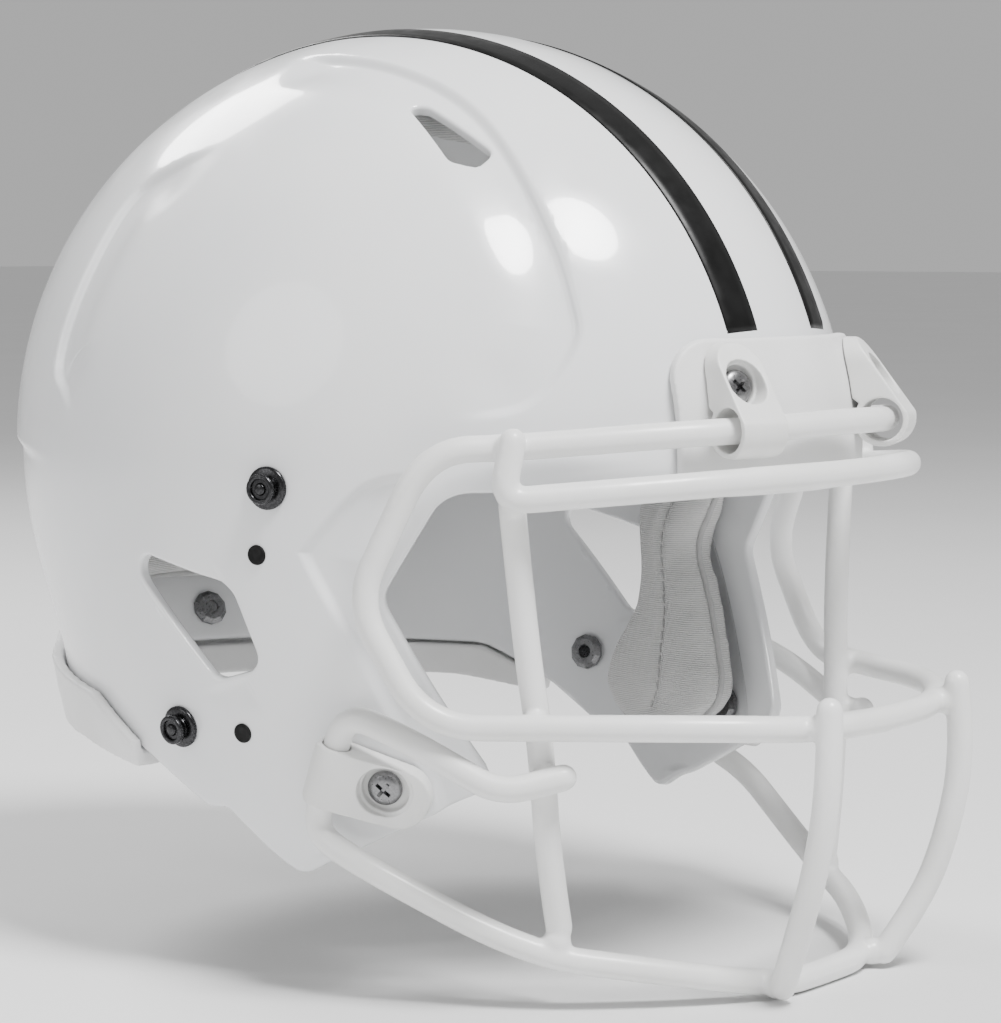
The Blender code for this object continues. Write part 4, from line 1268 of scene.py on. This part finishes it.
@cache
def zinc_steel():
    """Plated steel: fine turning marks and darker stains."""
    return coat("screw_steel", (0.34, 0.34, 0.35), 0.3, metallic=1.0,
                mottle=((1400, 3), (0.21, 0.21, 0.215), (0.26, 0.26, 0.265)), wear=((1600, 3), 0.26, 0.38),
                grains=[((5000, 2, (1, 1, 0.15)), 0.00001, 0.3)])


@cache
def blackened_metal():
    """Black oxide on brass snaps, rubbed paler in places."""
    return coat("snap_dark_metal", (0.10, 0.10, 0.105), 0.35, metallic=1.0,
                mottle=((1500, 4), (0.040, 0.040, 0.042), (0.075, 0.075, 0.078), 0.45, 0.75),
                wear=((1800, 3), 0.22, 0.32), grains=[((5000, 2), 0.00001, 0.25)])


@cache
def black_rubber():
    """Dull rubber of the valve plugs."""
    return coat("valve_black_rubber", (0.015, 0.015, 0.015), 0.6,
                mottle=((400, 4), (0.003, 0.003, 0.003), (0.008, 0.008, 0.008)), wear=((600, 3), 0.52, 0.70),
                grains=[((2500, 2), 0.00004, 0.5)], Specular_IOR_Level=0.2)


def knit(name, dark, light, pitch, depth):
    """Knitted cover: rows of loops from crossed waves, with fuzz."""
    n = Nodes(name, light, 0.85)
    n.put(n.shader, {"Sheen Weight": 0.25, "Sheen Roughness": 0.5})
    waves = []
    for turn in ((0, 0, 0), (0, math.pi / 2, 0), (math.pi / 2, 0, math.pi / 2)):
        place = n.add("Mapping", {"Vector": n.place, "Rotation": turn}).outputs["Vector"]
        ripple = {"Scale": 0.5 / pitch, "Distortion": 1.2, "Detail": 1.0, "Detail Scale": 1.5}
        waves.append(n.add("TexWave", {"Vector": place, **ripple}).outputs["Fac"])
    crossed = n.add("Math", {0: waves[0], 1: waves[1]}, operation="MULTIPLY").outputs[0]
    loops = n.add("Math", {0: crossed, 1: waves[2]}, operation="MAXIMUM").outputs[0]
    n.tint(n.spread(loops, 0, 1, 0.1, 0.8), dark, light)
    n.put(n.shader, {"Roughness": n.spread(n.noise(200, 4), 0.78, 0.92)})
    n.bump(n.noise(2400, 3), 0.00008, 0.5, n.bump(loops, depth, 0.7))
    return n.material


@cache
def liner_fabric():
    return knit("liner_pale_fabric", (0.56, 0.56, 0.555), (0.75, 0.75, 0.74), 0.0011, 0.0003)


@cache
def piping_thread():
    return knit("liner_piping", (0.42, 0.42, 0.42), (0.62, 0.62, 0.615), 0.0006, 0.0002)


# ---- camera, floor and light


def look(obj, azimuth, elevation):
    """Turns an object at an azimuth and elevation round the helmet to face it."""
    a, e = math.radians(azimuth), math.radians(elevation)
    back = Vector((math.sin(a) * math.cos(e), -math.cos(a) * math.cos(e), math.sin(e)))
    obj.rotation_mode = "QUATERNION"
    obj.rotation_quaternion = back.to_track_quat("Z", "Y")
    return back


def make_camera():
    data = bpy.data.cameras.new("camera")
    data.sensor_fit = "VERTICAL"
    data.sensor_height = 36.0
    data.lens = CAMERA_LENS
    data.clip_start = 0.01
    camera = add_object("camera", data)
    camera.location = Vector(DOME_CENTRE + np.array(CAMERA_AT))
    look(camera, CAMERA_AZIMUTH, CAMERA_ELEVATION)
    bpy.context.scene.camera = camera


def make_light(name, azimuth, elevation, distance, size, power):
    data = bpy.data.lights.new(name, "AREA")
    data.shape = "DISK"
    data.size = size
    data.energy = power
    light = add_object(name, data)
    light.location = Vector((0, 0, 0.15)) + look(light, azimuth, elevation) * distance


def make_studio():
    """Pale floor that the helmet stands on, a soft sky and three soft lamps."""
    points = [(-20, -20, 0), (20, -20, 0), (20, 20, 0), (-20, 20, 0)]
    floor = new_mesh_object("studio_floor", points, [[0, 1, 2, 3]])
    n = Nodes("studio_floor", (0.80, 0.80, 0.80), 0.7)
    n.tint(n.spread(n.noise(3, 3), 0, 1), (0.79, 0.79, 0.79), (0.81, 0.81, 0.81))
    floor.data.materials.append(n.material)
    world = bpy.data.worlds.new("studio_sky")
    world.use_nodes = True
    world.node_tree.nodes["Background"].inputs["Color"].default_value = (1, 1, 1, 1)
    world.node_tree.nodes["Background"].inputs["Strength"].default_value = 0.5
    bpy.context.scene.world = world
    make_light("key_lamp", -15, 58, 1.6, 0.5, 46)
    make_light("fill_lamp", -110, 22, 1.9, 0.9, 6)
    make_light("rim_lamp", 165, 40, 1.8, 0.7, 22)


def main():
    make_camera()
    make_studio()
    make_shell()
    make_stripes()
    make_front_bumper()
    make_rear_bumper()
    make_cage()
    make_clips()
    make_fasteners()
    make_pads()


main()
